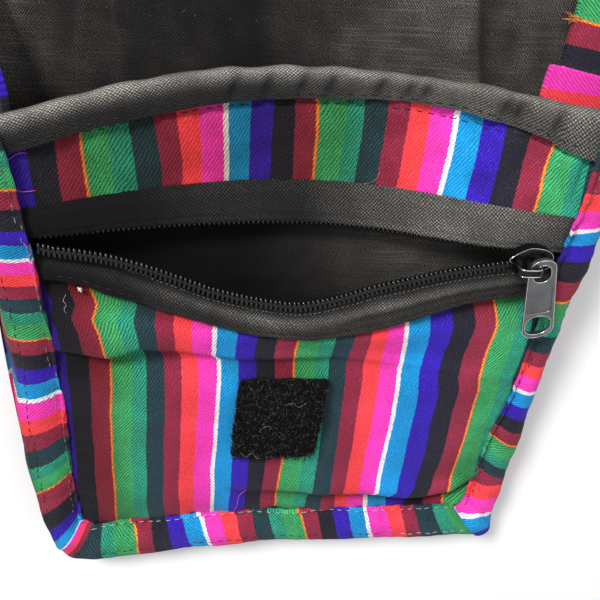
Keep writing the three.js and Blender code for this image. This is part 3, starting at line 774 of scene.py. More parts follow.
# %% Side strip profile
STRIP_STATIONS = {
    "left_mouth": ((-66.4, 76.6), (-78.1, 79.5), 9.0, 27.0, 3.0, 1.0),
    "left_band": ((-64.6, 64.0), (-77.1, 64.9), 8.0, 26.4, 2.5, 1.2),
    "left_zip": ((-63.6, 47.0), (-76.2, 47.0), 7.4, 24.0, 2.4, 1.2),
    "left_middle": ((-62.8, 12.0), (-77.0, 9.7), 7.6, 18.6, 2.2, 1.2),
    "left_low": ((-63.2, -26.0), (-75.5, -35.6), 11.4, 13.0, 2.2, 1.4),
    "left_turn": ((-62.9, -45.0), (-71.8, -56.3), 12.4, 10.8, 2.2, 1.2),
    "left_corner": ((-61.6, -54.4), (-68.5, -66.4), 12.6, 9.6, 2.1, 1.0),
    "left_return": ((-52.0, -55.2), (-57.2, -68.8), 13.8, 9.0, 2.1, 1.0),
    "bottom_left": ((-30.0, -52.4), (-31.3, -66.1), 13.2, 8.7, 2.1, 1.2),
    "bottom_middle": ((0.0, -50.4), (0.0, -62.8), 11.8, 8.5, 2.1, 1.2),
    "bottom_right": ((30.0, -50.6), (31.9, -63.1), 12.0, 8.7, 2.1, 1.2),
    "right_return": ((49.5, -50.4), (54.6, -61.4), 11.5, 9.0, 2.1, 1.0),
    "right_corner": ((57.4, -48.0), (67.0, -60.4), 15.2, 9.6, 2.1, 1.4),
    "right_turn": ((58.9, -40.0), (66.4, -48.7), 10.9, 10.8, 2.2, 1.2),
    "right_low": ((60.2, -24.0), (67.7, -28.8), 8.1, 13.0, 2.2, 1.2),
    "right_middle": ((63.4, 10.0), (68.7, 9.2), 4.2, 18.2, 2.2, 1.0),
    "right_zip": ((63.4, 47.0), (70.4, 47.0), 5.5, 23.8, 2.4, 1.0),
    "right_band": ((64.8, 64.0), (75.8, 64.7), 7.5, 26.4, 2.5, 1.0),
    "right_mouth": ((65.4, 77.6), (76.3, 79.3), 8.5, 27.0, 3.0, 1.0),
}
FOOT_Z = 2.3
FOOT_FLANGE = 1.8
EDGE_DROP = 1.6
LAP = 2.2
LAP_RISE = 0.42
ZIP_LAP_RISE = 0.8
ZIP_LAP_Y = (24, 36)
STRIP_SPANS = 7
STRIP_TOP_SHARE = 0.72


def strip_profile(u):
    """Eight points across the strip at each share u along it, from the flange to the folded edge."""
    rows = list(STRIP_STATIONS.values())
    position = u * (len(rows) - 1)
    read = lambda pick: between_rows([pick(r) for r in rows], position)
    seam = np.stack([read(lambda r: r[0][0]), read(lambda r: r[0][1])], -1)
    foot = np.stack([read(lambda r: r[1][0]), read(lambda r: r[1][1])], -1)
    edge, seam_z, lap, bulge = (read(lambda r, i=i: r[i]) for i in (2, 3, 4, 5))
    width = np.linalg.norm(foot - seam, axis=-1)
    outward = (foot - seam) / width[:, None]
    top = seam_z + lap
    edge_z = top - EDGE_DROP
    rise = lambda share: FOOT_Z + (edge_z - FOOT_Z) * share
    reach = lambda share: width + (edge - width) * share + 0.4 * bulge
    zero = 0 * width
    steps = [
        (width + FOOT_FLANGE, zero + FOOT_Z),
        (width, zero + FOOT_Z),
        (reach(0.3), rise(0.34)),
        (reach(0.75), rise(0.76)),
        (edge, edge_z),
        (0.45 * edge, top + (edge_z - top) * 0.45 + 0.5 * bulge),
        (zero - LAP / 2, None),
        (zero - LAP, None),
    ]
    points = []
    for out, z in steps:
        flat = seam + outward * out[:, None]
        if z is None:
            over_zip = smoothstep(flat[:, 1], *ZIP_LAP_Y)
            z = front_height(flat[:, 0], flat[:, 1]) + lap * (LAP_RISE + (ZIP_LAP_RISE - LAP_RISE) * over_zip)
        points.append(np.concatenate([flat, z[:, None]], -1))
    return np.stack(points, 1)


def strip_surface(u, v):
    shares, back_to = np.unique(np.round(u, 6), return_inverse=True)
    profile = strip_profile(shares)[back_to]
    position = v * STRIP_SPANS
    low = np.clip(np.floor(position).astype(int), 0, STRIP_SPANS - 1)
    rows = np.arange(len(u))
    before, start, end, after = (profile[rows, np.clip(low + i, 0, STRIP_SPANS)] for i in (-1, 0, 1, 2))
    t = (position - low)[:, None]
    pull, push = (end - before) / 2, (after - start) / 2
    return ((2 * (start - end) + pull + push) * t + 3 * (end - start) - 2 * pull - push) * t * t + pull * t + start


STRIP_STEPS = np.linspace(0, 1, 301)
STRIP_RUN = run_length(strip_surface(STRIP_STEPS, 0 * STRIP_STEPS + STRIP_TOP_SHARE))
print("side strip", round(STRIP_RUN[-1]), "mm long")

# %% [markdown]
# Two rows of stitches dent the strip near the edges of its top, and the cloth puckers beside them.
# At the right bottom corner a pleat laps one part of the strip over the next, and the pattern skips there.
# Pairs give the stripe that lies at each share of the strip's length. The round corner past the pleat has its own
# pairs, by their place in Y, because its stripes lie level, and along the bottom they lean.

# %% Side strip cloth
STRIP_STRIPES = (
    (0.0, -38.0), (0.097, -10.8), (0.115, 0.0), (0.153, 28.75), (0.180, 50.0), (0.230, 78.75), (0.322, 100.0),
    (0.352, 114.3), (0.380, 119.1), (0.413, 128.75), (0.457, 150.0), (0.485, 164.3), (0.512, 178.75),
    (0.549, 200.0), (0.587, 214.3), (0.644, 228.2), (0.650, 240.0), (0.664, 244.3), (0.764, 264.2),
    (0.793, 278.75), (0.823, 300.0), (0.868, 328.75), (0.910, 350.0), (0.932, 355.5), (1.0, 372.0))
CORNER_STRIPES = ((-63.0, 238.0), (-57.5, 244.3), (-50.2, 250.0), (-42.3, 255.4), (-35.5, 259.8), (-31.0, 264.2))
WHITE_AT = 39.2
STITCH_INNER = 0.872
STITCH_OUTER = 0.612
PLEAT_SHARE = 0.647
BOTTOM_LEAN = 4.8
LEAN_ALONG = ((0.37, 1.0), (0.47, 0.6), (0.6, 0.3))
# How much the strip is dimmed along its length, darkest near its start on the left.
STRIP_DIMMING = ((0, 0.86), (0.2, 0.92), (0.34, 1.0), (0.5, 1.05), (1, 1.0))


def strip_relief(u, v, place):
    run = np.interp(u, STRIP_STEPS, STRIP_RUN)
    wide = v * 30
    off_inner, off_outer = (v - STITCH_INNER) * STRIP_SPANS, (v - STITCH_OUTER) * STRIP_SPANS
    stitch = bump(off_inner, 0.4) + 0.7 * bump(off_outer, 0.3)
    uneven = ripple(run, wide, 22, 21)
    pucker = 0.22 * np.sin(math.tau * run / 5.4 + 1.8 * uneven)
    near = bump(v - STITCH_INNER, 0.1) + bump(v - STITCH_OUTER, 0.06)
    roll = -0.3 * np.clip(v * STRIP_SPANS - 6.5, 0, 1) ** 2
    corner = bump(u - 0.335, 0.035) + bump(u - 0.665, 0.03)
    crumple = corner * 0.6 * ripple(run, wide, 9, 22)
    past = u - PLEAT_SHARE
    lapped = 1.9 * (np.tanh(past / 0.002) + 1) / 2 * bump(past, 0.03) * bump(v - 0.8, 0.25)
    return -0.34 * stitch + pucker * near + roll + crumple + lapped + 0.34 * ripple(run, wide, 19, 23)


def strip_marks(u, v, place):
    along = graded(u, STRIP_STRIPES)
    level = graded(place[:, 1], CORNER_STRIPES)
    corner = smoothstep(u, PLEAT_SHARE - 0.002, PLEAT_SHARE + 0.002) * (1 - smoothstep(u, 0.752, 0.770))
    along = along + (level - along) * corner
    bottom = smoothstep(u, 0.355, 0.39) * (1 - smoothstep(u, 0.5, 0.6))
    over_top = np.clip(v, STITCH_OUTER - 0.1, STITCH_INNER + 0.03) - 0.74
    along = along + BOTTOM_LEAN * bottom * graded(u, LEAN_ALONG) * over_top / 0.26
    run = np.interp(u, STRIP_STEPS, STRIP_RUN)
    return WHITE_AT - along + 0.3 * ripple(run, v * 30, 26, 25), v * 32


def strip_painted_shade(u, v, place):
    # Painted shade on the wall below the top, a painted shadow line along the inner stitches past the right bottom
    # corner, and patches of painted shade.
    wall_shade = 0.38 * smoothstep(0.6 - v, 0, 0.08)
    groove = 0.4 * bump((v - STITCH_INNER) * STRIP_SPANS, 0.22) * smoothstep(u, 0.66, 0.7)
    patchy = fold_shade_patches(place[:, 0], place[:, 1], 9, 26, 0.07)
    return (1 - wall_shade) * (1 - groove) * graded(u, STRIP_DIMMING) * patchy


strip = lay_cloth("side_strip_cloth", strip_surface, (460, 44), 1.1, strip_marks, strip_relief, wear=strip_painted_shade)
finish_piece(strip, stripes, nodes=["gusset"])

# %% [markdown]
# Black bias tape is folded over the mouth edge. It is one strip that comes up the front, turns over the edge
# and goes down inside, so the fold at the top is round. Bias tape twists a little as it is sewn, which gives
# the slanting wrinkles and lets its weave lean.

# %% Mouth binding
BINDING_PROUD = 1.6
BINDING_ROUND = 0.3
BIAS_LEAN = 0.15
PUCKERS_X = (-16.2, -9.0, -1.3, 4.9, 15.7, 22.0, 25.6, 42.7, 45.6, 54.0)


def bias(x, y):
    return x + BIAS_LEAN * y, y


def binding_surface(u, v):
    turned = (v - 0.5) * 2
    outer = turned < 0
    fall = np.abs(turned)
    top = front(u, 0.0)
    low = binding_foot(u)
    arc = np.clip(fall / BINDING_ROUND, 0, 1) * math.pi / 2
    straight = np.clip((fall - BINDING_ROUND) / (1 - BINDING_ROUND), 0, 1)
    drop = (1 - np.cos(arc)) * 0.14 + straight * np.where(outer, 0.86, 0.7)
    body = top + (low - top) * drop[:, None]
    thick = BINDING_PROUD * np.sin(arc) * (1 - 0.14 * straight ** 2)
    body[:, 2] += np.where(outer, thick, -0.75 * thick)
    return body


def binding_relief(u, v, place):
    x = place[:, 0]
    slant = x + 9 * v
    wrinkle = 0.22 * np.sin(math.tau * slant / 7.2 + 1.8 * ripple(x, v * 9, 24, 31))
    tucks = sum(bump(x - at - 5 * (v - 0.2), 1.2) for at in PUCKERS_X)
    return wrinkle * bump(v - 0.22, 0.2) - 0.9 * tucks * bump(v - 0.2, 0.15) + 0.2 * ripple(x, v * 14, 12, 32)


def binding_dust_and_light(u, v, place):
    """Dust and a painted highlight lie on the ridge; towards the right dust and painted light cover the whole tape, and
    painted shade darkens the puckers.
    """
    right = smoothstep(u, 0.35, 0.8)
    pucker_shade = sum(bump(place[:, 0] - at - 4 * (v - 0.2), 1.5) for at in PUCKERS_X) * bump(v - 0.2, 0.2)
    dust = (0.08 + 0.42 * right) + (1.2 - 0.65 * right) * bump(v - 0.4, 0.12)
    return dust * (1 - 0.6 * np.clip(pucker_shade, 0, 1))


def binding_marks(u, v, place):
    return bias(place[:, 0], v * 22)


binding = lay_cloth("binding_cloth", binding_surface, (340, 40), 0.7, binding_marks, binding_relief,
                    wear=binding_dust_and_light)
finish_piece(binding, black_cloth, nodes=["mouth_binding"])

# %% [markdown]
# The placket above the zip and the strip below it are the same black tape, pressed with rounded long edges.
# Each is a strip whose middle stands a little proud and whose edges turn down on to the cloth beside it.
# The one below sags with the open zip, and a table gives its sag off the smooth line.

# %% Zip strips
PLACKET_PROUD = 0.75
PLACKET_LAP = 0.04
# Dust on the placket that also paints light: almost none on its left, where it should lie in shade, more towards its
# right.
PLACKET_DUST_AND_LIGHT = ((0.2, 0.02), (0.32, 0.1), (0.5, 0.09), (0.62, 0.4), (0.78, 0.72), (0.9, 0.66), (1.0, 0.3))
ZIP_SAG = (
    (-62, 0.3), (-57, -0.6), (-45, -0.6), (-32, -1.2), (-22, -1.6), (-8, -0.5), (-1, -0.4), (8, 0.7), (17, 1.5),
    (30, 0.9), (44, 0.3))
LIP_UNDER_COIL = 0.9
LIP_DUST_AND_LIGHT = ((0.0, 0.03), (0.16, 0.07), (0.3, 0.36), (0.45, 0.6), (0.6, 0.6), (0.75, 0.5), (1.0, 0.45))


def strip_between(top, low, proud):
    """A tape between two lines of the front, standing proud with its long edges turned down."""
    def surface(u, v):
        point = front(u, low + (top - low) * v)
        point[:, 2] += (proud * (1 - (2 * v - 1) ** 6) + 0.1) * (1 - (2 * u - 1) ** 24)
        return point
    return surface


def tape_relief(stitch_rows, seed):
    def relief(u, v, place):
        x, y = place[:, 0], place[:, 1]
        groove = sum(bump(v - row, 0.05) for row in stitch_rows)
        near = sum(bump(v - row, 0.16) for row in stitch_rows)
        pucker = 0.16 * np.sin(math.tau * (x + 0.6 * y) / 5.2 + 1.7 * ripple(x, y, 20, seed)) * near
        return -0.26 * groove + pucker + 0.2 * ripple(x, y, 15, seed + 1)
    return relief


def tape_marks(u, v, place):
    return bias(place[:, 0], place[:, 1])


placket = lay_cloth("placket_cloth", strip_between(BAND_LOW - PLACKET_LAP, PLACKET_LOW, PLACKET_PROUD), (180, 22), 0.8,
                    tape_marks, tape_relief((0.14, 0.9), 41), wear=lambda u, v, place: graded(u, PLACKET_DUST_AND_LIGHT))
finish_piece(placket, black_cloth, nodes=["zip_placket"])


def zip_sag(x):
    """How far the lower zip edge hangs off its smooth line, towards the mouth."""
    return graded(x, ZIP_SAG)


def lip_surface(u, v):
    raised = LIP_LOW + 0.02 - 0.12 * smoothstep(u, 0.55, 0.95) - 0.12 * (1 - smoothstep(u, 0.04, 0.18))
    low, top = front(u, raised), front(u, LIP_EDGE)
    top[:, 1] += zip_sag(top[:, 0]) - LIP_UNDER_COIL
    point = low + (top - low) * v[:, None]
    hollow = 1.8 * bump(v - 0.74, 0.2) * (1 - smoothstep(u, 0.12, 0.26))
    point[:, 2] += (0.9 * (1 - (2 * v - 1) ** 4) + 0.75 * (1 - v) - hollow) * (1 - (2 * u - 1) ** 24)
    return point


def lip_dust_and_light(u, v, place):
    """Dust and a painted highlight along the middle ridge, painted shade under the coil and in a crease on the right,
    and more dust and painted light away from the dark left end.
    """
    ridge = 0.42 + 0.8 * bump(v - 0.58, 0.14)
    crease = 0.7 * bump(v - 0.44, 0.07) * smoothstep(u, 0.5, 0.66)
    return graded(u, LIP_DUST_AND_LIGHT) * ridge * (1 - 0.75 * smoothstep(v, 0.7, 0.9)) * (1 - crease)


lip = lay_cloth("lip_cloth", lip_surface, (190, 24), 0.8, tape_marks, tape_relief((0.16, 0.5), 45),
                wear=lip_dust_and_light)
finish_piece(lip, black_cloth, nodes=["zip_tape_lower"])

# %% [markdown]
# Inside the open zip is the pocket's black lining. It hangs from the placket, sags on to the back
# and comes up again behind the pocket front. The zip's slit shows only its upper part.

# %% Pocket lining
POCKET_DEPTH_Z = 10.0
POCKET_HALF_WIDTH = 57.0
POCKET_TOP_Y = 60.5
POCKET_LOW_Y = -46.5
POCKET_UNDER = 1.9


def pocket_surface(u, v):
    s = 2 * u - 1
    x = s * POCKET_HALF_WIDTH
    y = POCKET_LOW_Y + (POCKET_TOP_Y - 3.5 * s * s - POCKET_LOW_Y) * v
    sides = smoothstep(1 - v, 0, 0.06) * smoothstep(v, 0, 0.12)
    over = front_height(x, y) - POCKET_UNDER
    sunk = np.maximum(over - 4.0 * sides, np.minimum(over, POCKET_DEPTH_Z))
    seam = sunk - 2.4 * smoothstep(0.4 - v, 0, 0.3)
    hang = np.sin(math.pi * v) ** 0.6 * (1 - np.abs(s) ** 6)
    return np.stack([x, y, seam + (POCKET_DEPTH_Z - seam) * hang], -1)


def pocket_relief(u, v, place):
    x, y = place[:, 0], place[:, 1]
    inside = smoothstep(v, 0.1, 0.3) * smoothstep(1 - v, 0.04, 0.2)
    return (0.5 * ripple(x, y, 24, 51) + 0.16 * ripple(x, y, 9, 52)) * inside


# The lining's dust also paints light: almost none on the left, where it should lie in shade, more towards the right.
pocket = lay_cloth("pocket_lining_cloth", pocket_surface, (90, 90), 0.8, flat_marks, pocket_relief,
                   wear=lambda u, v, place: 0.02 + 0.68 * smoothstep(u, 0.38, 0.85))
finish_piece(pocket, lining_cloth, nodes=["pocket_lining"])

# %% [markdown]
# The back and the flap are one striped piece with a black lining on it. Lines across it give its outline,
# from the rounded bottom corners to the flap's end, and the flap's free end lifts a little off the table.
# A line's numbers are its two ends in X, three places in Y, three heights and the width of the border there.

# %% Back and flap
BACK_LINES = {
    "bottom_hem": ((-57.5, 56.0), (-70.2, -64.1, -62.7), (0.0, 0.0, 0.0), 9.0),
    "bottom_round": ((-66.0, 63.5), (-69.2, -63.4, -62.6), (0.0, 0.0, 0.0), 9.0),
    "corner_round": ((-70.3, 67.0), (-64.6, -61.5, -60.0), (0.0, 0.0, 0.0), 9.0),
    "low": ((-73.8, 67.9), (-53.0, -51.0, -48.0), (0.0, 0.0, 0.0), 9.0),
    "middle": ((-78.2, 69.8), (5.0, 5.0, 5.0), (0.0, 0.0, 0.0), 9.0),
    "zip": ((-77.4, 71.6), (48.0, 48.0, 48.0), (0.0, 0.0, 0.0), 9.0),
    "mouth": ((-79.4, 77.4), (82.0, 82.0, 82.0), (0.0, 0.0, 0.0), 8.0),
    "flap_root": ((-76.5, 76.5), (104.0, 104.0, 104.0), (0.0, 0.4, 0.0), 3.0),
    "flap_middle": ((-75.5, 75.5), (150.0, 150.0, 150.0), (0.6, 1.8, 0.4), 2.5),
    "flap_low": ((-74.5, 74.5), (190.0, 190.0, 190.0), (2.4, 0.6, 1.6), 2.5),
    "flap_corner": ((-70.0, 70.0), (201.5, 202.0, 201.5), (3.0, 0.4, 2.0), 3.0),
    "flap_end": ((-61.0, 61.0), (205.0, 206.0, 205.0), (3.0, 0.4, 2.0), 3.5),
}
SIDE_SPREAD = 2.0
BACK_RISE = 0.6


def back_surface(rise, trimmed):
    rows = list(BACK_LINES.values())

    def surface(u, v):
        position = v * (len(rows) - 1)
        s = 2 * u - 1
        read = lambda part, end: between_rows([r[part][end] for r in rows], position)
        share = (1 - np.exp(-(s / SIDE_SPREAD) ** 2)) / (1 - math.exp(-1 / SIDE_SPREAD ** 2))
        bow = lambda part: read(part, 1) + (np.where(s < 0, read(part, 0), read(part, 2)) - read(part, 1)) * share
        inset = between_rows([r[3] for r in rows], position) * trimmed
        left, right = read(0, 0) + inset, read(0, 1) - inset
        return np.stack([left + (right - left) * u, bow(1) + inset * (1 - 2 * v), rise + np.maximum(bow(2), 0)], -1)
    return surface


def back_marks(u, v, place):
    return place[:, 0] - BAND_ORANGE_X + STRIPE_AT_ORANGE, place[:, 1]


back = lay_cloth("back_cloth", back_surface(BACK_RISE, 0), (110, 190), 1.1, back_marks)
finish_piece(back, stripes, nodes=["back_outer"])

# %% [markdown]
# The black lining follows the same lines. It stops short of the edge, so a narrow striped border frames it.
# A long crease falls from beside the strap, and folds run up from the mouth. Dust and painted light grey its right
# side, as far as the picture shows it, and fade to an even grey beyond. Painted shade lies right of the crease, painted
# highlights run along the left folds, and painted light lifts the strap's shadow at the left.

# %% Flap lining
LINING_RISE = 2.05
LINING_DUST_AND_LIGHT = (
    (-75, 0.3), (-60, 0.28), (-40, 0.16), (-12, 0.1), (2, 0.24), (18, 0.62), (38, 0.66), (60, 0.56))
EVEN_DUST = 0.38
lining_surface = back_surface(LINING_RISE, 1)


def lining_crease(x, y):
    """Millimetres to the right of the long crease beside the strap, and how strong it is there."""
    return x - 39 - 0.18 * (99 - y), smoothstep(y, 74, 80) * smoothstep(140 - y, 0, 25)


def left_folds(x, y):
    """Millimetres to the right of the two folds near the left end of the mouth."""
    return x + 50 - 0.2 * (y - 95), x + 43 + 0.1 * (y - 95)


def lining_relief(u, v, place):
    x, y = place[:, 0], place[:, 1]
    right, strong = lining_crease(x, y)
    crease = 0.8 * (1 - np.tanh(right / 0.5)) / 2 * bump(np.minimum(right, 0), 5) * strong
    ridge = 0.8 * bump(x - 48 - 0.5 * (97 - y), 1.5) * smoothstep(y, 74, 80) * smoothstep(118 - y, 0, 16)
    first, second = left_folds(x, y)
    folds = 0.25 * bump(first, 1.3) + 0.25 * bump(second, 1.0) + 0.3 * bump(x - 6, 1.4)
    soft = 0.10 + 0.1 * ripple(x, y, 30, 61) + 0.05 * ripple(x, y, 9, 62)
    return soft + crease + ridge + folds * smoothstep(y, 74, 84)


def lining_dust_and_light(u, v, place):
    x, y = place[:, 0], place[:, 1]
    right, strong = lining_crease(x, y)
    seen = 1 - smoothstep(y, 112, 135)
    level = EVEN_DUST + (graded(x, LINING_DUST_AND_LIGHT) - EVEN_DUST) * seen
    # Painted shade right of the crease, a painted highlight along the left folds and painted light over the strap's
    # shadow at the left.
    shade = 0.75 * (1 + np.tanh(right / 0.5)) / 2 * np.exp(-np.maximum(right, 0) / 7) * strong
    patchy = 1 + (0.16 * ripple(x, y, 22, 63) + 0.14 * ripple(x, y, 7, 64)) * (0.3 + 0.7 * seen)
    first, second = left_folds(x, y)
    fold_highlight = (0.12 * bump(first, 0.9) + 0.14 * bump(second, 0.6)) * bump(y - 100, 12)
    strap_shadow_lift = 0.9 * bump(x + 70, 7) * bump(y - 92, 18)
    return ((level + strap_shadow_lift) * patchy + fold_highlight) * (1 - shade)


lining = lay_cloth("flap_lining_cloth", lining_surface, (200, 225), 0.8, flat_marks, lining_relief,
                   wear=lining_dust_and_light)
finish_piece(lining, lining_cloth, nodes=["back_lining"])

# %% [markdown]
# The strap is a folded striped strip sewn inside the mouth at both sides. It lies on the flap near its roots
# and stands on edge round the far bend, out of the picture. Beside the right root a tuck hides part of the pattern,
# so the marks skip there from pink to black. Each knot of its path is X, Y, Z and the roll in degrees.

# %% Strap
STRAP_PATH = {
    "right_root": (64.4, 62.0, 6.9, 17),
    "right_sewn": (64.6, 76.0, 6.9, 17),
    "right_mouth": (65.4, 84.0, 6.7, 12),
    "right_bend": (66.8, 92.0, 5.8, 6),
    "right_lie": (69.0, 106.0, 4.6, 0),
    "right_run": (72.0, 150.0, 5.0, 0),
    "right_edge": (78.0, 200.0, 6.5, 0),
    "right_drop": (84.0, 245.0, 2.2, 6),
    "right_twist": (96.0, 310.0, 7.2, 40),
    "right_stand": (106.0, 380.0, 10.6, 84),
    "far_right": (92.0, 455.0, 10.6, 90),
    "far_right_bend": (50.0, 505.0, 10.6, 90),
    "far_middle": (-4.0, 520.0, 10.6, 90),
    "far_left_bend": (-58.0, 502.0, 10.6, 90),
    "far_left": (-100.0, 448.0, 10.6, 90),
    "left_stand": (-112.0, 372.0, 10.6, 84),
    "left_twist": (-104.0, 300.0, 7.2, 40),
    "left_drop": (-94.0, 236.0, 2.2, 6),
    "left_edge": (-88.0, 190.0, 5.8, 0),
    "left_run": (-82.0, 140.0, 4.8, 0),
    "left_lie": (-79.5, 112.0, 4.5, 0),
    "left_bend": (-78.5, 99.0, 6.2, 14),
    "left_mouth": (-73.6, 90.0, 9.2, 42),
    "left_sewn": (-68.6, 81.0, 12.7, 61),
    "left_root": (-68.6, 62.0, 12.7, 61),
}
STRAP_WIDTH = 20.0
STRAP_FOLD = 2.9
STRAP_FIRST_MARK = 13.6
TUCK_RUN = 25.2
TUCK_HIDES = 11.6


def strap_middle(position):
    rows = list(STRAP_PATH.values())
    return np.stack([between_rows([r[i] for r in rows], position) for i in range(3)], -1)


STRAP_STEPS = np.linspace(0, 1, 801)
STRAP_RUN = run_length(strap_middle(STRAP_STEPS * (len(STRAP_PATH) - 1)))


def strap_surface(u, v):
    rows = list(STRAP_PATH.values())
    last = len(rows) - 1
    position = u * last
    along = strap_middle(np.minimum(position + 0.05, last)) - strap_middle(np.maximum(position - 0.05, 0))
    along /= np.linalg.norm(along, axis=-1)[:, None]
    flat = np.cross([0.0, 0.0, 1.0], along)
    flat /= np.linalg.norm(flat, axis=-1)[:, None]
    roll = np.radians(between_rows([r[3] for r in rows], position))[:, None]
    wide = flat * np.cos(roll) + np.cross(along, flat) * np.sin(roll)
    run = np.interp(u, STRAP_STEPS, STRAP_RUN)
    folded = STRAP_FOLD * smoothstep(run, TUCK_RUN - 0.6, TUCK_RUN + 0.6) * (1 - smoothstep(run, 75, 110))
    return strap_middle(position) + wide * ((v - 0.5) * STRAP_WIDTH - folded * v)[:, None]


def strap_relief(u, v, place):
    run = np.interp(u, STRAP_STEPS, STRAP_RUN)
    edge = np.minimum(v, 1 - v) * STRAP_WIDTH
    tuck = 0.9 * (1 - np.tanh((run - TUCK_RUN) / 0.5)) / 2 * np.exp(-np.abs(run - TUCK_RUN) / 3.5)
    return -0.25 * bump(edge - 1.6, 0.5) + tuck + 0.12 * ripple(run, v * 20, 14, 71)


def strap_marks(u, v, place):
    run = np.interp(u, STRAP_STEPS, STRAP_RUN)
    hidden = np.where(run > TUCK_RUN - 0.4, TUCK_HIDES, 0)
    return run + STRAP_FIRST_MARK + hidden, (v - 0.5) * STRAP_WIDTH


strap = lay_cloth("strap_cloth", strap_surface, (720, 22), 1.6, strap_marks, strap_relief)
finish_piece(strap, stripes, nodes=["strap"])
print("strap", round(STRAP_RUN[-1]), "mm long")

# %% [markdown]
# A nylon zip has no separate teeth: one thick thread is wound into a flattened coil along each tape.
# The coil is drawn as a path that circles an oval while it moves along the tape's edge, then given a round section.
# The photograph shows between eight and nine turns to the centimetre.

# %% Zip coils
COIL_LEFT_X = -60.2
COIL_RIGHT_X = 49.6
COIL_PITCH = 1.16
COIL_HALF = (1.2, 0.62)
COIL_THREAD = 0.4
COIL_DENT = 0.75
COIL_CORE = 0.5
COIL_LOWER_RISE = 0.55
COIL_UPPER_RISE, COIL_UPPER_SHIFT = -1.6, -0.4
TURN_POINTS = 20


def put_in_scene(name, data):
    """An object around new data, alone in the selection."""
    clear_selection()
    piece = bpy.data.objects.new(name, data)
    bpy.context.scene.collection.objects.link(piece)
    piece.select_set(True)
    bpy.context.view_layer.objects.active = piece
    return piece


def curve_to_mesh(name, curve):
    put_in_scene(name, curve)
    bpy.ops.object.convert(target="MESH")
    return bpy.context.active_object


def tube(name, rows, radius, sides=2):
    """Round threads along rows of points in millimetres, as one mesh."""
    curve = bpy.data.curves.new(name, "CURVE")
    curve.dimensions = "3D"
    curve.bevel_depth = radius * MM
    curve.bevel_resolution = sides
    curve.use_fill_caps = True
    for points in rows:
        spline = curve.splines.new("POLY")
        spline.points.add(len(points) - 1)
        packed = np.concatenate([np.asarray(points) * MM, np.ones((len(points), 1))], -1)
        spline.points.foreach_set("co", packed.ravel())
    piece = curve_to_mesh(name, curve)
    bpy.ops.object.shade_smooth()
    print(name, len(piece.data.polygons), "faces")
    return piece


def coil_middle(x, line, rise, shift):
    name = LINE_NAMES[int(line)]
    left, right = FRONT_LINES[name][0]
    point = front((x - left) / (right - left), line)
    point[:, 1] += shift
    point[:, 2] += rise
    if line == LIP_EDGE:
        point[:, 1] += zip_sag(x)
    return point


def coil_path(line, rise, shift):
    """The turns of one coil and the cord inside it."""
    x = np.linspace(COIL_LEFT_X, COIL_RIGHT_X, 400)
    middle = coil_middle(x, line, rise, shift)
    run = run_length(middle)
    turns = run[-1] / COIL_PITCH
    at = np.linspace(0, run[-1], int(turns * TURN_POINTS))
    point = np.stack([np.interp(at, run, middle[:, i]) for i in range(3)], -1)
    along = np.gradient(point, axis=0)
    along /= np.linalg.norm(along, axis=1)[:, None]
    up = np.array([0.0, 0.0, 1.0]) - along * along[:, 2:3]
    up /= np.linalg.norm(up, axis=1)[:, None]
    side = np.cross(up, along)
    angle = (at / COIL_PITCH * math.tau)[:, None]
    height = np.sin(angle) * COIL_HALF[1] * (1 - COIL_DENT * bump(np.cos(angle), 0.3))
    return point + side * np.cos(angle) * COIL_HALF[0] + up * height, point


lower_turns, lower_core = coil_path(LIP_EDGE, COIL_LOWER_RISE, 0.0)
coil_lower = tube("coil_lower", [lower_turns], COIL_THREAD)
finish_piece(coil_lower, nylon, nodes=["zip_coil_lower"])
upper_turns, upper_core = coil_path(PLACKET_LOW, COIL_UPPER_RISE, COIL_UPPER_SHIFT)
coil_upper = tube("coil_upper", [upper_turns], COIL_THREAD)
finish_piece(coil_upper, nylon, nodes=["zip_coil_upper"])

core = tube("coil_cores", [lower_core, upper_core], COIL_CORE)
finish_piece(core, black_thread)

# %% [markdown]
# The slider is a small casting, pointed at its left end. It starts as a filled circle whose rim is pulled
# into the drop shape, is extruded to its height, and has its edges rounded. Its dark colour is a painted reflection of
# dark surroundings. A thin bright thread of metal follows the outline along its upper edge: partly metal bared by wear,
# partly a painted highlight.

# %% Slider
SLIDER_PLACE = (53.0, 48.5, 26.2)
SLIDER_SIZE = (10.7, 6.3, 2.9)
SLIDER_ROUND = 0.55
RIM_INSET = (0.972, 0.95, 0.12)
RIM_THREAD = 0.14
SMOOTH_BELOW = math.radians(40)


def edit(action, **settings):
    bpy.ops.object.mode_set(mode="EDIT")
    bpy.ops.mesh.select_all(action="SELECT")
    action(**settings)
    bpy.ops.object.mode_set(mode="OBJECT")


def round_edges(piece, width, segments, angle):
    rounded = piece.modifiers.new("rounded", "BEVEL")
    rounded.width = width * MM
    rounded.segments = segments
    rounded.limit_method = "ANGLE"
    rounded.angle_limit = math.radians(angle)
    apply_all(piece)
    bpy.ops.object.shade_smooth_by_angle(angle=SMOOTH_BELOW)


def drop_outline(angle):
    """Half length and half width of the slider's outline at an angle, pointed at the left."""
    x, y = np.cos(angle), np.sin(angle)
    pinch = np.clip((x + 1) / 0.9, 0, 1) ** 0.5
    return x * SLIDER_SIZE[0] / 2, np.sign(y) * np.abs(y) ** 0.7 * SLIDER_SIZE[1] / 2 * pinch


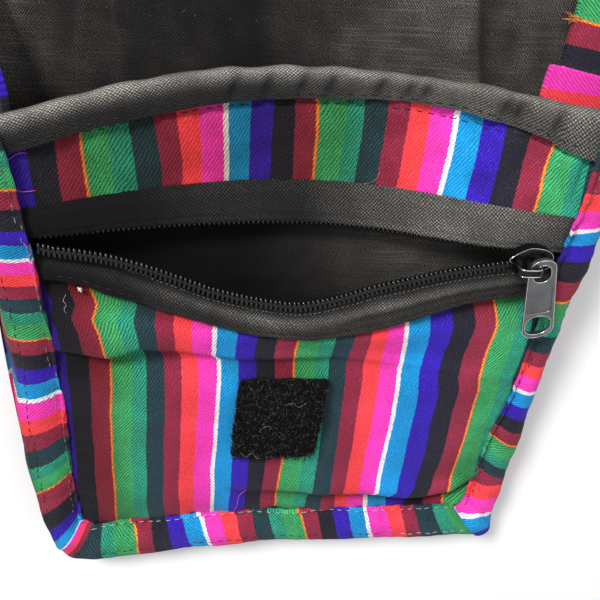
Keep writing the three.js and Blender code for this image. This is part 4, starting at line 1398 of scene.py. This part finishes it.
clear_selection()
bpy.ops.mesh.primitive_circle_add(vertices=48, radius=1, fill_type="NGON")
slider = bpy.context.active_object
slider.name = "slider_casting"
for corner in slider.data.vertices:
    x, y = drop_outline(math.atan2(corner.co.y, corner.co.x))
    corner.co = Vector((SLIDER_PLACE[0] + x, SLIDER_PLACE[1] + y, SLIDER_PLACE[2])) * MM
edit(bpy.ops.mesh.extrude_region_move, TRANSFORM_OT_translate={"value": (0, 0, SLIDER_SIZE[2] * MM)})
edit(bpy.ops.mesh.normals_make_consistent, inside=False)
round_edges(slider, SLIDER_ROUND, 3, 45)
finish_piece(slider, dark_reflection_metal, nodes=["zip_slider"])
rim_angle = np.linspace(0, math.tau, 97)
rim_x, rim_y = drop_outline(rim_angle)
rim_path = np.stack([SLIDER_PLACE[0] + rim_x * RIM_INSET[0], SLIDER_PLACE[1] + rim_y * RIM_INSET[1],
                     0 * rim_x + SLIDER_PLACE[2] + SLIDER_SIZE[2] - RIM_INSET[2]], -1)
slider_edge = tube("slider_edge", [rim_path], RIM_THREAD, 1)
finish_piece(slider_edge, glint_metal)
print("slider", [round(d * 1000, 1) for d in slider.dimensions])

# %% [markdown]
# A bent strip stands on the slider and holds the pull. It is a grid laid along an arch and thickened,
# so the bends at its two legs stay round.

# %% Slider bridge
BRIDGE_LEFT, BRIDGE_RIGHT = 48.5, 55.1
BRIDGE_Y = 47.4
BRIDGE_WIDTH = 1.8
BRIDGE_BAR = 1.1
BRIDGE_TOP = 34.0
BRIDGE_BEND = 0.42
BRIDGE_EDGE = 0.15
BRIDGE_FOOT = SLIDER_PLACE[2] + SLIDER_SIZE[2] + 0.02


def bridge_surface(u, v):
    left, right = BRIDGE_LEFT + BRIDGE_BAR / 2, BRIDGE_RIGHT - BRIDGE_BAR / 2
    angle = math.pi * (1 - u)
    middle, half = (left + right) / 2, (right - left) / 2
    x = middle + half * np.sign(np.cos(angle)) * np.abs(np.cos(angle)) ** BRIDGE_BEND
    z = BRIDGE_FOOT + (BRIDGE_TOP - BRIDGE_BAR / 2 - BRIDGE_FOOT) * np.abs(np.sin(angle)) ** BRIDGE_BEND
    return np.stack([x, BRIDGE_Y + (v - 0.5) * BRIDGE_WIDTH, z], -1)


bridge = lay_cloth("slider_arch", bridge_surface, (40, 4), BRIDGE_BAR, lambda u, v, p: (u, v), edge=0.22)
finish_piece(bridge, dark_reflection_metal, nodes=["slider_bridge"])
bow = np.linspace(0.06, 0.94, 60)
# Thin bright threads of metal along the bridge's edges: partly metal bared by wear, partly a painted highlight.
edge_rows = [bridge_surface(bow, 0 * bow + v) + np.array([0, 0, BRIDGE_BAR / 2 - 0.1]) for v in (0.04, 0.96)]
bridge_edge = tube("bridge_edge", edge_rows, BRIDGE_EDGE, 1)
finish_piece(bridge_edge, glint_metal)

# %% [markdown]
# The pull is a cast plate with a rounded eye round the bridge's leg and a second hole near its end.
# Flat curves give the outline and its holes, and are thickened with a small round edge before they become a mesh.
# Each outline is a box with round corners: its half width, its top, its low end and the radius of its corners.

# %% Plate with round edges
TAB_PLACE = (54.95, 47.4, 31.5)
TAB_YAW = math.radians(11.5)
TAB_PITCH = math.radians(12)
TAB_TURN = Matrix.Rotation(TAB_YAW, 3, "Z") @ Matrix.Rotation(TAB_PITCH, 3, "X")
TAB_OUTLINE = (3.2, 3.0, -22.0, 2.9)
TAB_FLARE = (0.35, 1.0)
TAB_ROUND = 0.22
PLATE_MERGE = 0.00002
PLATE_SMOOTH = math.radians(35)


def rounded_outline(half, top, low, radius, steps=6):
    """Points round a box with rounded corners, anticlockwise."""
    corners = ((half - radius, low + radius, -90), (half - radius, top - radius, 0),
               (radius - half, top - radius, 90), (radius - half, low + radius, 180))
    points = []
    for x, y, start in corners:
        for step in range(steps + 1):
            angle = math.radians(start + 90 * step / steps)
            points.append((x + radius * math.cos(angle), y + radius * math.sin(angle)))
    return [(x * flare(x, y), y) for x, y in points]


def flare(x, y):
    """The pull widens towards its end, a little more on its right side."""
    return 1 + TAB_FLARE[1 if x > 0 else 0] / TAB_OUTLINE[0] * min(max(-y / 20, 0), 1)


def cast_plate(name, outlines, low, high):
    """A plate between two heights with round edges, cut from flat outlines; later outlines are holes."""
    curve = bpy.data.curves.new(name, "CURVE")
    curve.dimensions = "2D"
    curve.fill_mode = "BOTH"
    curve.extrude = ((high - low) / 2 - TAB_ROUND) * MM
    curve.bevel_depth = TAB_ROUND * MM
    curve.bevel_resolution = 2
    curve.offset = -TAB_ROUND * MM
    for outline in outlines:
        spline = curve.splines.new("POLY")
        spline.points.add(len(outline) - 1)
        for corner, (x, y) in zip(spline.points, outline):
            corner.co = (x * MM, y * MM, 0, 1)
        spline.use_cyclic_u = True
    piece = curve_to_mesh(name, curve)
    lift = Matrix.Translation((0, 0, (high + low) / 2 * MM))
    piece.data.transform(Matrix.Translation(Vector(TAB_PLACE) * MM) @ TAB_TURN.to_4x4() @ lift)
    edit(bpy.ops.mesh.remove_doubles, threshold=PLATE_MERGE)
    edit(bpy.ops.mesh.normals_make_consistent, inside=False)
    bpy.ops.object.shade_smooth_by_angle(angle=PLATE_SMOOTH)
    return piece


print("plate outlines of", len(rounded_outline(*TAB_OUTLINE)), "points")

# %% [markdown]
# The pull's rim is one plate with the eye, the hole and the face cut out of it. A thinner plate fills the face
# and laps a little under the rim, so that the rim stands proud. Thin bright threads of metal follow the edges of the
# plate:
# partly metal bared by wear, partly a painted highlight of the edges' glints.

# %% Pull tab
TAB_THICK = 1.4
TAB_EYE = (2.15, 1.6, -3.6, 2.0)
TAB_HOLE = (2.75, -14.6, -20.9, 2.5)
TAB_FACE = (2.6, -4.9, -13.6, 1.0)
FACE_LAP = 0.4
FACE_LOW, FACE_HIGH = -0.62, 0.42
TAB_EDGE_RISE = 0.56
TAB_EDGE_THREAD = 0.13

tab_rings = [rounded_outline(*shape) for shape in (TAB_OUTLINE, TAB_EYE, TAB_HOLE)]
rim = cast_plate("pull_rim", [*tab_rings, rounded_outline(*TAB_FACE)], -TAB_THICK / 2, TAB_THICK / 2)
half, top, low, corner_radius = TAB_FACE
face_outline = rounded_outline(half + FACE_LAP, top + FACE_LAP, low - FACE_LAP, corner_radius)
web = cast_plate("pull_face", [face_outline], FACE_LOW, FACE_HIGH)
clear_selection()
web.select_set(True)
rim.select_set(True)
bpy.context.view_layer.objects.active = rim
bpy.ops.object.join()
pull = bpy.context.active_object
pull.name = "pull_casting"
finish_piece(pull, gunmetal, body="pull", nodes=["pull_tab"])


def on_tab(points, rise):
    """Points of the pull's plane, closed into a ring and put in place."""
    ring = [Vector(TAB_PLACE) + TAB_TURN @ Vector((x, y, rise)) for x, y in (*points, points[0])]
    return np.array([tuple(p) for p in ring])


tab_edge = tube("pull_edge", [on_tab(ring, TAB_EDGE_RISE) for ring in tab_rings], TAB_EDGE_THREAD, 1)
finish_piece(tab_edge, glint_metal, body="pull")
print("pull", len(pull.data.polygons), "faces")

# %% [markdown]
# Hook-and-loop patches: the soft half on the pocket is a woven base covered with fine brushed loops,
# and its mate on the flap has stiff hooks. Thousands of loops are thin threads with only a few faces each.

# %% Loop patch
LOOP_PATCH = {"x": -3.8, "y": -3.6, "width": 23.0, "height": 28.2, "lean": 2.2}
LOOP_BASE_RISE = 1.75
LOOP_ROOT_RISE = 2.35
LOOP_COUNT = 5200
PALE_LOOPS = 900


def patch_surface(rise):
    def surface(u, v):
        across, up = 2 * u - 1, 2 * v - 1
        s = across * (1 - 0.025 * up ** 4) + 0.012 * np.sin(7 * up)
        t = up * (1 - 0.025 * across ** 4) + 0.01 * np.sin(8 * across)
        x = LOOP_PATCH["x"] + s / 2 * LOOP_PATCH["width"] + t / 2 * LOOP_PATCH["lean"]
        y = LOOP_PATCH["y"] + t / 2 * LOOP_PATCH["height"]
        return np.stack([x, y, front_height(x, y) + rise], -1)
    return surface


def patch_relief(u, v, place):
    edge = np.minimum(np.minimum(u, 1 - u) * LOOP_PATCH["width"], np.minimum(v, 1 - v) * LOOP_PATCH["height"])
    return 0.15 * ripple(place[:, 0], place[:, 1], 3.5, 81) - 0.5 * np.exp(-edge / 0.8)


patch = lay_cloth("loop_patch_base", patch_surface(LOOP_BASE_RISE), (44, 52), 1.5, flat_marks, patch_relief)
finish_piece(patch, pile, nodes=["loop_patch"])

draw = np.random.default_rng(83)
root_u, root_v = draw.uniform(-0.006, 1.006, LOOP_COUNT), draw.uniform(-0.006, 1.006, LOOP_COUNT)
roots = patch_surface(LOOP_ROOT_RISE)(root_u, root_v)
heading = draw.uniform(0, math.tau, LOOP_COUNT)
reach = draw.uniform(0.5, 1.5, LOOP_COUNT)
height = draw.uniform(0.35, 1.15, LOOP_COUNT)
lean_x, lean_y = draw.normal(0, 0.3, LOOP_COUNT), draw.normal(0, 0.3, LOOP_COUNT)
t = np.linspace(0, 1, 5)
over = np.sin(math.pi * t)
loops = []
for i in range(LOOP_COUNT):
    dx = np.cos(heading[i]) * reach[i] * (t - 0.5) + lean_x[i] * over
    dy = np.sin(heading[i]) * reach[i] * (t - 0.5) + lean_y[i] * over
    loops.append(roots[i] + np.stack([dx, dy, height[i] * over - 0.1], -1))
loop_fuzz = tube("loop_fuzz", loops[PALE_LOOPS:], 0.06, 0)
finish_piece(loop_fuzz, pile)
loop_lint = tube("loop_lint", loops[:PALE_LOOPS], 0.04, 0)
finish_piece(loop_lint, lint)

# %% [markdown]
# The mate of the loop patch is sewn on the flap's lining, out of the picture. It is a stiffer woven square
# with short hooks in rows. Its height is read off the lining by halving, as the CAD does.

# %% Hook patch
HOOK_PATCH = {"x": 0.0, "y": 168.0, "width": 24.0, "height": 26.0}
HOOK_BASE_RISE = 1.15
HOOK_ROOT_RISE = 1.6
HOOK_GRID = (22, 24)
HOOK_SHAPE = np.array([[0, 0, 0], [0, 0, 0.55], [0.12, 0, 0.8], [0.34, 0, 0.78], [0.4, 0, 0.55]])
HOOK_THREAD = 0.07
FLAP_WIDTH = 145


def flap_height(x, y):
    """Height of the lining's middle under a point of the flap."""
    low, high = np.full_like(x, 0.5), np.full_like(x, 1.0)
    for _ in range(HALVINGS):
        middle = (low + high) / 2
        point = lining_surface(0.5 + x / FLAP_WIDTH, middle)
        short = point[:, 1] < y
        low, high = np.where(short, middle, low), np.where(short, high, middle)
    return point[:, 2]


def hook_surface(rise):
    def surface(u, v):
        x = HOOK_PATCH["x"] + (u - 0.5) * HOOK_PATCH["width"]
        y = HOOK_PATCH["y"] + (v - 0.5) * HOOK_PATCH["height"]
        return np.stack([x, y, flap_height(x, y) + rise], -1)
    return surface


hook_base = lay_cloth("hook_patch_base", hook_surface(HOOK_BASE_RISE), (24, 26), 1.2, flat_marks)
finish_piece(hook_base, pile, nodes=["hook_patch"])
hook_columns, hook_rows = (np.linspace(0.05, 0.95, count) for count in HOOK_GRID)
hook_u, hook_v = (g.ravel() for g in np.meshgrid(hook_columns, hook_rows))
hook_roots = hook_surface(HOOK_ROOT_RISE)(hook_u, hook_v)
hooks = tube("hook_hooks", [root + HOOK_SHAPE for root in hook_roots], HOOK_THREAD, 0)
finish_piece(hooks, nylon)

# %% [markdown]
# Topstitching is a row of short threads that sink into the cloth at both ends. One stitch is modelled as
# a long bead, then copied along each seam. The nearest point of the finished cloth gives each copy its height and tilt,
# and small seeded shifts keep the row from looking like a machine's drawing.

# %% Stitch tool
STITCH_PITCH = 2.8
STITCH_LENGTH = 1.75
STITCH_RADIUS = 0.13

clear_selection()
bpy.ops.mesh.primitive_uv_sphere_add(segments=6, ring_count=5, radius=1)
bead = bpy.context.active_object
bead_points = np.array([tuple(c.co) for c in bead.data.vertices])
bead_faces = [tuple(p.vertices) for p in bead.data.polygons]
bpy.data.objects.remove(bead, do_unlink=True)


def find_cloth(cloth):
    return BVHTree.FromObject(cloth, bpy.context.evaluated_depsgraph_get())


def sew(name, cloth, path, finish, length=STITCH_LENGTH, pitch=STITCH_PITCH, radius=STITCH_RADIUS, seed=91):
    """Stitches along a path of points on a finished cloth piece."""
    finder = find_cloth(cloth)
    jitter = np.random.default_rng(seed)
    run = run_length(path)
    points, faces = [], []
    for at in np.arange(pitch, run[-1] - pitch, pitch):
        at += jitter.normal(0, 0.12)
        here = Vector([np.interp(at, run, path[:, i]) for i in range(3)])
        ahead = Vector([np.interp(at + 0.5, run, path[:, i]) for i in range(3)])
        spot, normal, _, _ = finder.find_nearest(here * MM)
        along = (ahead - here).normalized()
        along = (along - normal * along.dot(normal)).normalized()
        side = normal.cross(along)
        long = length * jitter.uniform(0.82, 1.1) / 2
        frame_rows = np.array([along * long, side * radius, normal * radius])
        centre = np.array(spot) / MM + np.array(normal) * radius * 0.35
        points.append(bead_points[:, [2, 0, 1]] @ frame_rows + centre)
        faces.extend(tuple(i + (len(points) - 1) * len(bead_points) for i in f) for f in bead_faces)
    mesh = bpy.data.meshes.new(name)
    mesh.from_pydata(np.concatenate(points) * MM, [], faces)
    piece = put_in_scene(name, mesh)
    edit(bpy.ops.mesh.normals_make_consistent, inside=False)
    bpy.ops.object.shade_smooth()
    finish_piece(piece, finish)
    print(name, len(points), "stitches")


def lifted(surface, u, v, rise):
    """Points a little over a surface, where its cloth's upper face is nearest."""
    point = surface(u, v + 0 * u)
    point[:, 2] += rise
    return point


print("one stitch has", len(bead_faces), "faces")

# %% [markdown]
# The strip is sewn in parts, because its thread is dusty, black or pale in different places. A part's numbers are where
# it starts and ends along the strip, its thread and the row that it lies on. Short close stitches hold the coil
# to its tape, and the strap's two rows begin well away from its roots, because the picture shows none there.

# %% Seams
ALONG = np.linspace(0.004, 0.996, 900)
STRIP_SEAMS = (
    ("left", 0.004, 0.325, dim_thread, STITCH_INNER),
    ("left_outer", 0.004, 0.325, black_thread, STITCH_OUTER),
    ("bottom", 0.34, PLEAT_SHARE - 0.004, pale_thread, STITCH_INNER),
    ("bottom_left", 0.34, 0.565, black_thread, STITCH_OUTER),
    ("bottom_right", 0.565, PLEAT_SHARE - 0.004, pale_thread, STITCH_OUTER),
    ("right", PLEAT_SHARE + 0.01, 0.93, black_thread, STITCH_INNER),
    ("right_top", 0.93, 0.996, dim_thread, STITCH_INNER),
)
STRAP_UNSEWN = 75
COIL_STITCH_LENGTH = 0.6
COIL_STITCH_RADIUS = 0.07
OVER_FOLDS = 2
OVER_FLAT = 0.5

for side, start, end, thread, share in STRIP_SEAMS:
    part = ALONG[(ALONG > start) & (ALONG < end)]
    sew("strip_" + side + "_stitches_0", strip, lifted(strip_surface, part, share, OVER_FOLDS), thread)
ACROSS = np.linspace(0.03, 0.97, 300)
band_seam = binding_foot(ACROSS, SEAM_BELOW) + (0, 0, OVER_FLAT)
sew("band_stitches", band, band_seam, black_thread, pitch=2.6, seed=92)
sew("binding_stitches", binding, lifted(binding_surface, ACROSS, 0.07, OVER_FOLDS), black_thread)
# The coil's stitches take the dim grey thread: its grey is a painted highlight, standing for glints on black stitching.
sew("coil_stitches", lip, lifted(lip_surface, ACROSS, 0.93, OVER_FOLDS), dim_thread,
    COIL_STITCH_LENGTH, COIL_PITCH, COIL_STITCH_RADIUS)
sew("lip_stitches", lip, lifted(lip_surface, ACROSS, 0.16, OVER_FOLDS), black_thread)
sewn_run = np.linspace(STRAP_UNSEWN, STRAP_RUN[-1] - STRAP_UNSEWN, 1600)
sewn_strap = np.interp(sewn_run, STRAP_RUN, STRAP_STEPS)
for share, label in ((0.08, "inner"), (0.92, "outer")):
    sew("strap_stitches_" + label, strap, lifted(strap_surface, sewn_strap, share, OVER_FLAT), pale_thread)

flap_side = np.linspace(0.66, 0.985, 300)
flap_edge = np.concatenate([
    lifted(lining_surface, 0 * flap_side + 0.018, flap_side, OVER_FLAT),
    lifted(lining_surface, np.linspace(0.02, 0.98, 200), 0.986, OVER_FLAT),
    lifted(lining_surface, 0 * flap_side + 0.982, flap_side[::-1], OVER_FLAT)])
sew("flap_stitches", lining, flap_edge, black_thread, seed=93)

# %% [markdown]
# A used bag sheds: a few threads have worked loose at the seams and hairs cling to the patch.
# Each is a thin curve through a few points, laid on the finished cloth by a ray from above.
# A thread's entry is its cloth, its finish, its radius and its knots, which are X, Y and the rise over the cloth.

# %% Loose threads
LOOSE_THREADS = {
    "curled_thread": (panel, pale_thread, 0.05, ((-55.5, 34.6, 0.2), (-56.1, 33.4, 0.4), (-55.6, 32.3, 0.5),
                                                  (-56.2, 31.0, 0.4), (-56.0, 29.6, 0.2))),
    "pink_thread": (panel, pink_thread, 0.08, ((-11.6, -35.2, 0.2), (-13.4, -37.6, 0.8), (-14.2, -41.5, 1.0),
                                               (-14.9, -45.8, 0.6), (-15.3, -50.0, 0.1))),
    "band_thread_top": (band, pink_thread, 0.08, ((-63.6, 68.8, 0.2), (-61.4, 70.2, 0.3), (-59.6, 70.2, 0.1))),
    "band_thread_low": (band, pink_thread, 0.08, ((-63.4, 62.9, 0.2), (-61.2, 61.9, 0.4), (-58.8, 61.8, 0.1))),
    "corner_thread": (strip, pink_thread, 0.1, ((-62.3, 50.2, 0.2), (-61.4, 49.2, 0.7), (-61.2, 47.4, 0.7),
                                                (-62.3, 46.2, 0.1))),
    "patch_hair_low": (patch, pale_thread, 0.022, ((-13.6, -14.8, 0.6), (-12.2, -15.9, 1.5), (-10.6, -14.6, 1.2),
                                                   (-9.4, -16.4, 1.4), (-8.0, -17.2, 0.8))),
    "patch_hair_middle": (patch, pale_thread, 0.022, ((-8.6, -6.8, 0.7), (-7.8, -4.2, 1.5), (-6.2, -3.4, 1.3),
                                                      (-5.6, -5.4, 0.9))),
    "patch_hair_high": (patch, pale_thread, 0.022, ((-2.2, 3.6, 0.8), (-0.4, 4.6, 1.4), (1.2, 3.2, 1.2),
                                                    (3.2, 4.2, 0.8))),
    "band_end_thread": (band, dim_thread, 0.06, ((17.2, 66.5, 0.2), (16.6, 63.6, 0.4), (14.8, 62.4, 0.3),
                                                 (12.2, 62.2, 0.1))),
}
RAY_START_Z = 60.0


def drop_on(finder, x, y):
    """The point of a cloth under x and y, in metres, or None beside it."""
    return finder.ray_cast(Vector((x, y, RAY_START_Z)) * MM, Vector((0, 0, -1)))[0]


def lay_thread(name, cloth, finish, radius, knots, seed):
    """A loose thread: knots are x, y and the rise over the cloth."""
    finder = find_cloth(cloth)
    at = np.linspace(0, len(knots) - 1, 9 * (len(knots) - 1) + 1)
    x, y, rise = (between_rows([k[i] for k in knots], at) for i in range(3))
    x = x + 0.15 * ripple(at, 0 * at, 1.1, seed)
    points = []
    for a, b, c in zip(x, y, rise):
        spot = drop_on(finder, a, b)
        if spot:
            points.append((a, b, spot.z / MM + c))
    thread = tube(name, [np.array(points)], radius, 1)
    finish_piece(thread, finish)


for number, (name, (cloth, finish, radius, knots)) in enumerate(LOOSE_THREADS.items()):
    lay_thread(name, cloth, finish, radius, knots, 100 + number)

# %% [markdown]
# A white ball of lint sits under the zip's left end: one thread wound round itself. The strap's orange yarns fray
# at its edge. The lining carries short specks, scattered by seeded chance and dropped on to the cloth.

# %% Lint and frays
LINT_BALL_PLACE = (-52.0, 36.4, 23.6)
ORANGE_MARK = 60.45
FRAY_COUNT = 11
SPECK_COUNT = 150

draw = np.random.default_rng(111)
turns = np.linspace(0, 9, 60)
ball = np.stack([LINT_BALL_PLACE[0] + 0.55 * np.sin(2.1 * turns) * np.cos(turns),
                 LINT_BALL_PLACE[1] + 0.4 * np.sin(1.7 * turns + 1),
                 LINT_BALL_PLACE[2] + 0.35 * np.cos(2.6 * turns)], -1)
finish_piece(tube("lint_ball", [ball], 0.13, 1), white_thread)
frays = []
fray_at = np.interp(ORANGE_MARK - STRAP_FIRST_MARK - TUCK_HIDES, STRAP_RUN, STRAP_STEPS)
for _ in range(FRAY_COUNT):
    start = strap_surface(np.array([fray_at]), np.array([draw.uniform(0.9, 0.99)]))[0]
    start = start + (0, draw.normal(0, 0.5), 0.9)
    reach = np.array([-draw.uniform(1.4, 3.6), draw.normal(0.3, 0.9), -draw.uniform(0.1, 1.2)])
    share = np.linspace(0, 1, 7)[:, None]
    frays.append(start + reach * share + np.array([0, 0.5, 0.4]) * np.sin(math.pi * share) * draw.normal(0, 1))
finish_piece(tube("strap_frays", frays, 0.07, 1), orange_thread)

finder = find_cloth(lining)
specks = []
for _ in range(SPECK_COUNT):
    x, y = draw.uniform(-64, 58), draw.uniform(88, 190)
    heading, long = draw.uniform(0, math.tau), draw.uniform(0.08, 0.4)
    step = np.array([math.cos(heading), math.sin(heading), 0]) * long
    middle = np.array(drop_on(finder, x, y)) / MM
    specks.append(np.array([middle - step, middle + (0, 0, 0.12), middle + step]))
finish_piece(tube("lining_lint", specks, 0.035, 0), dim_thread)
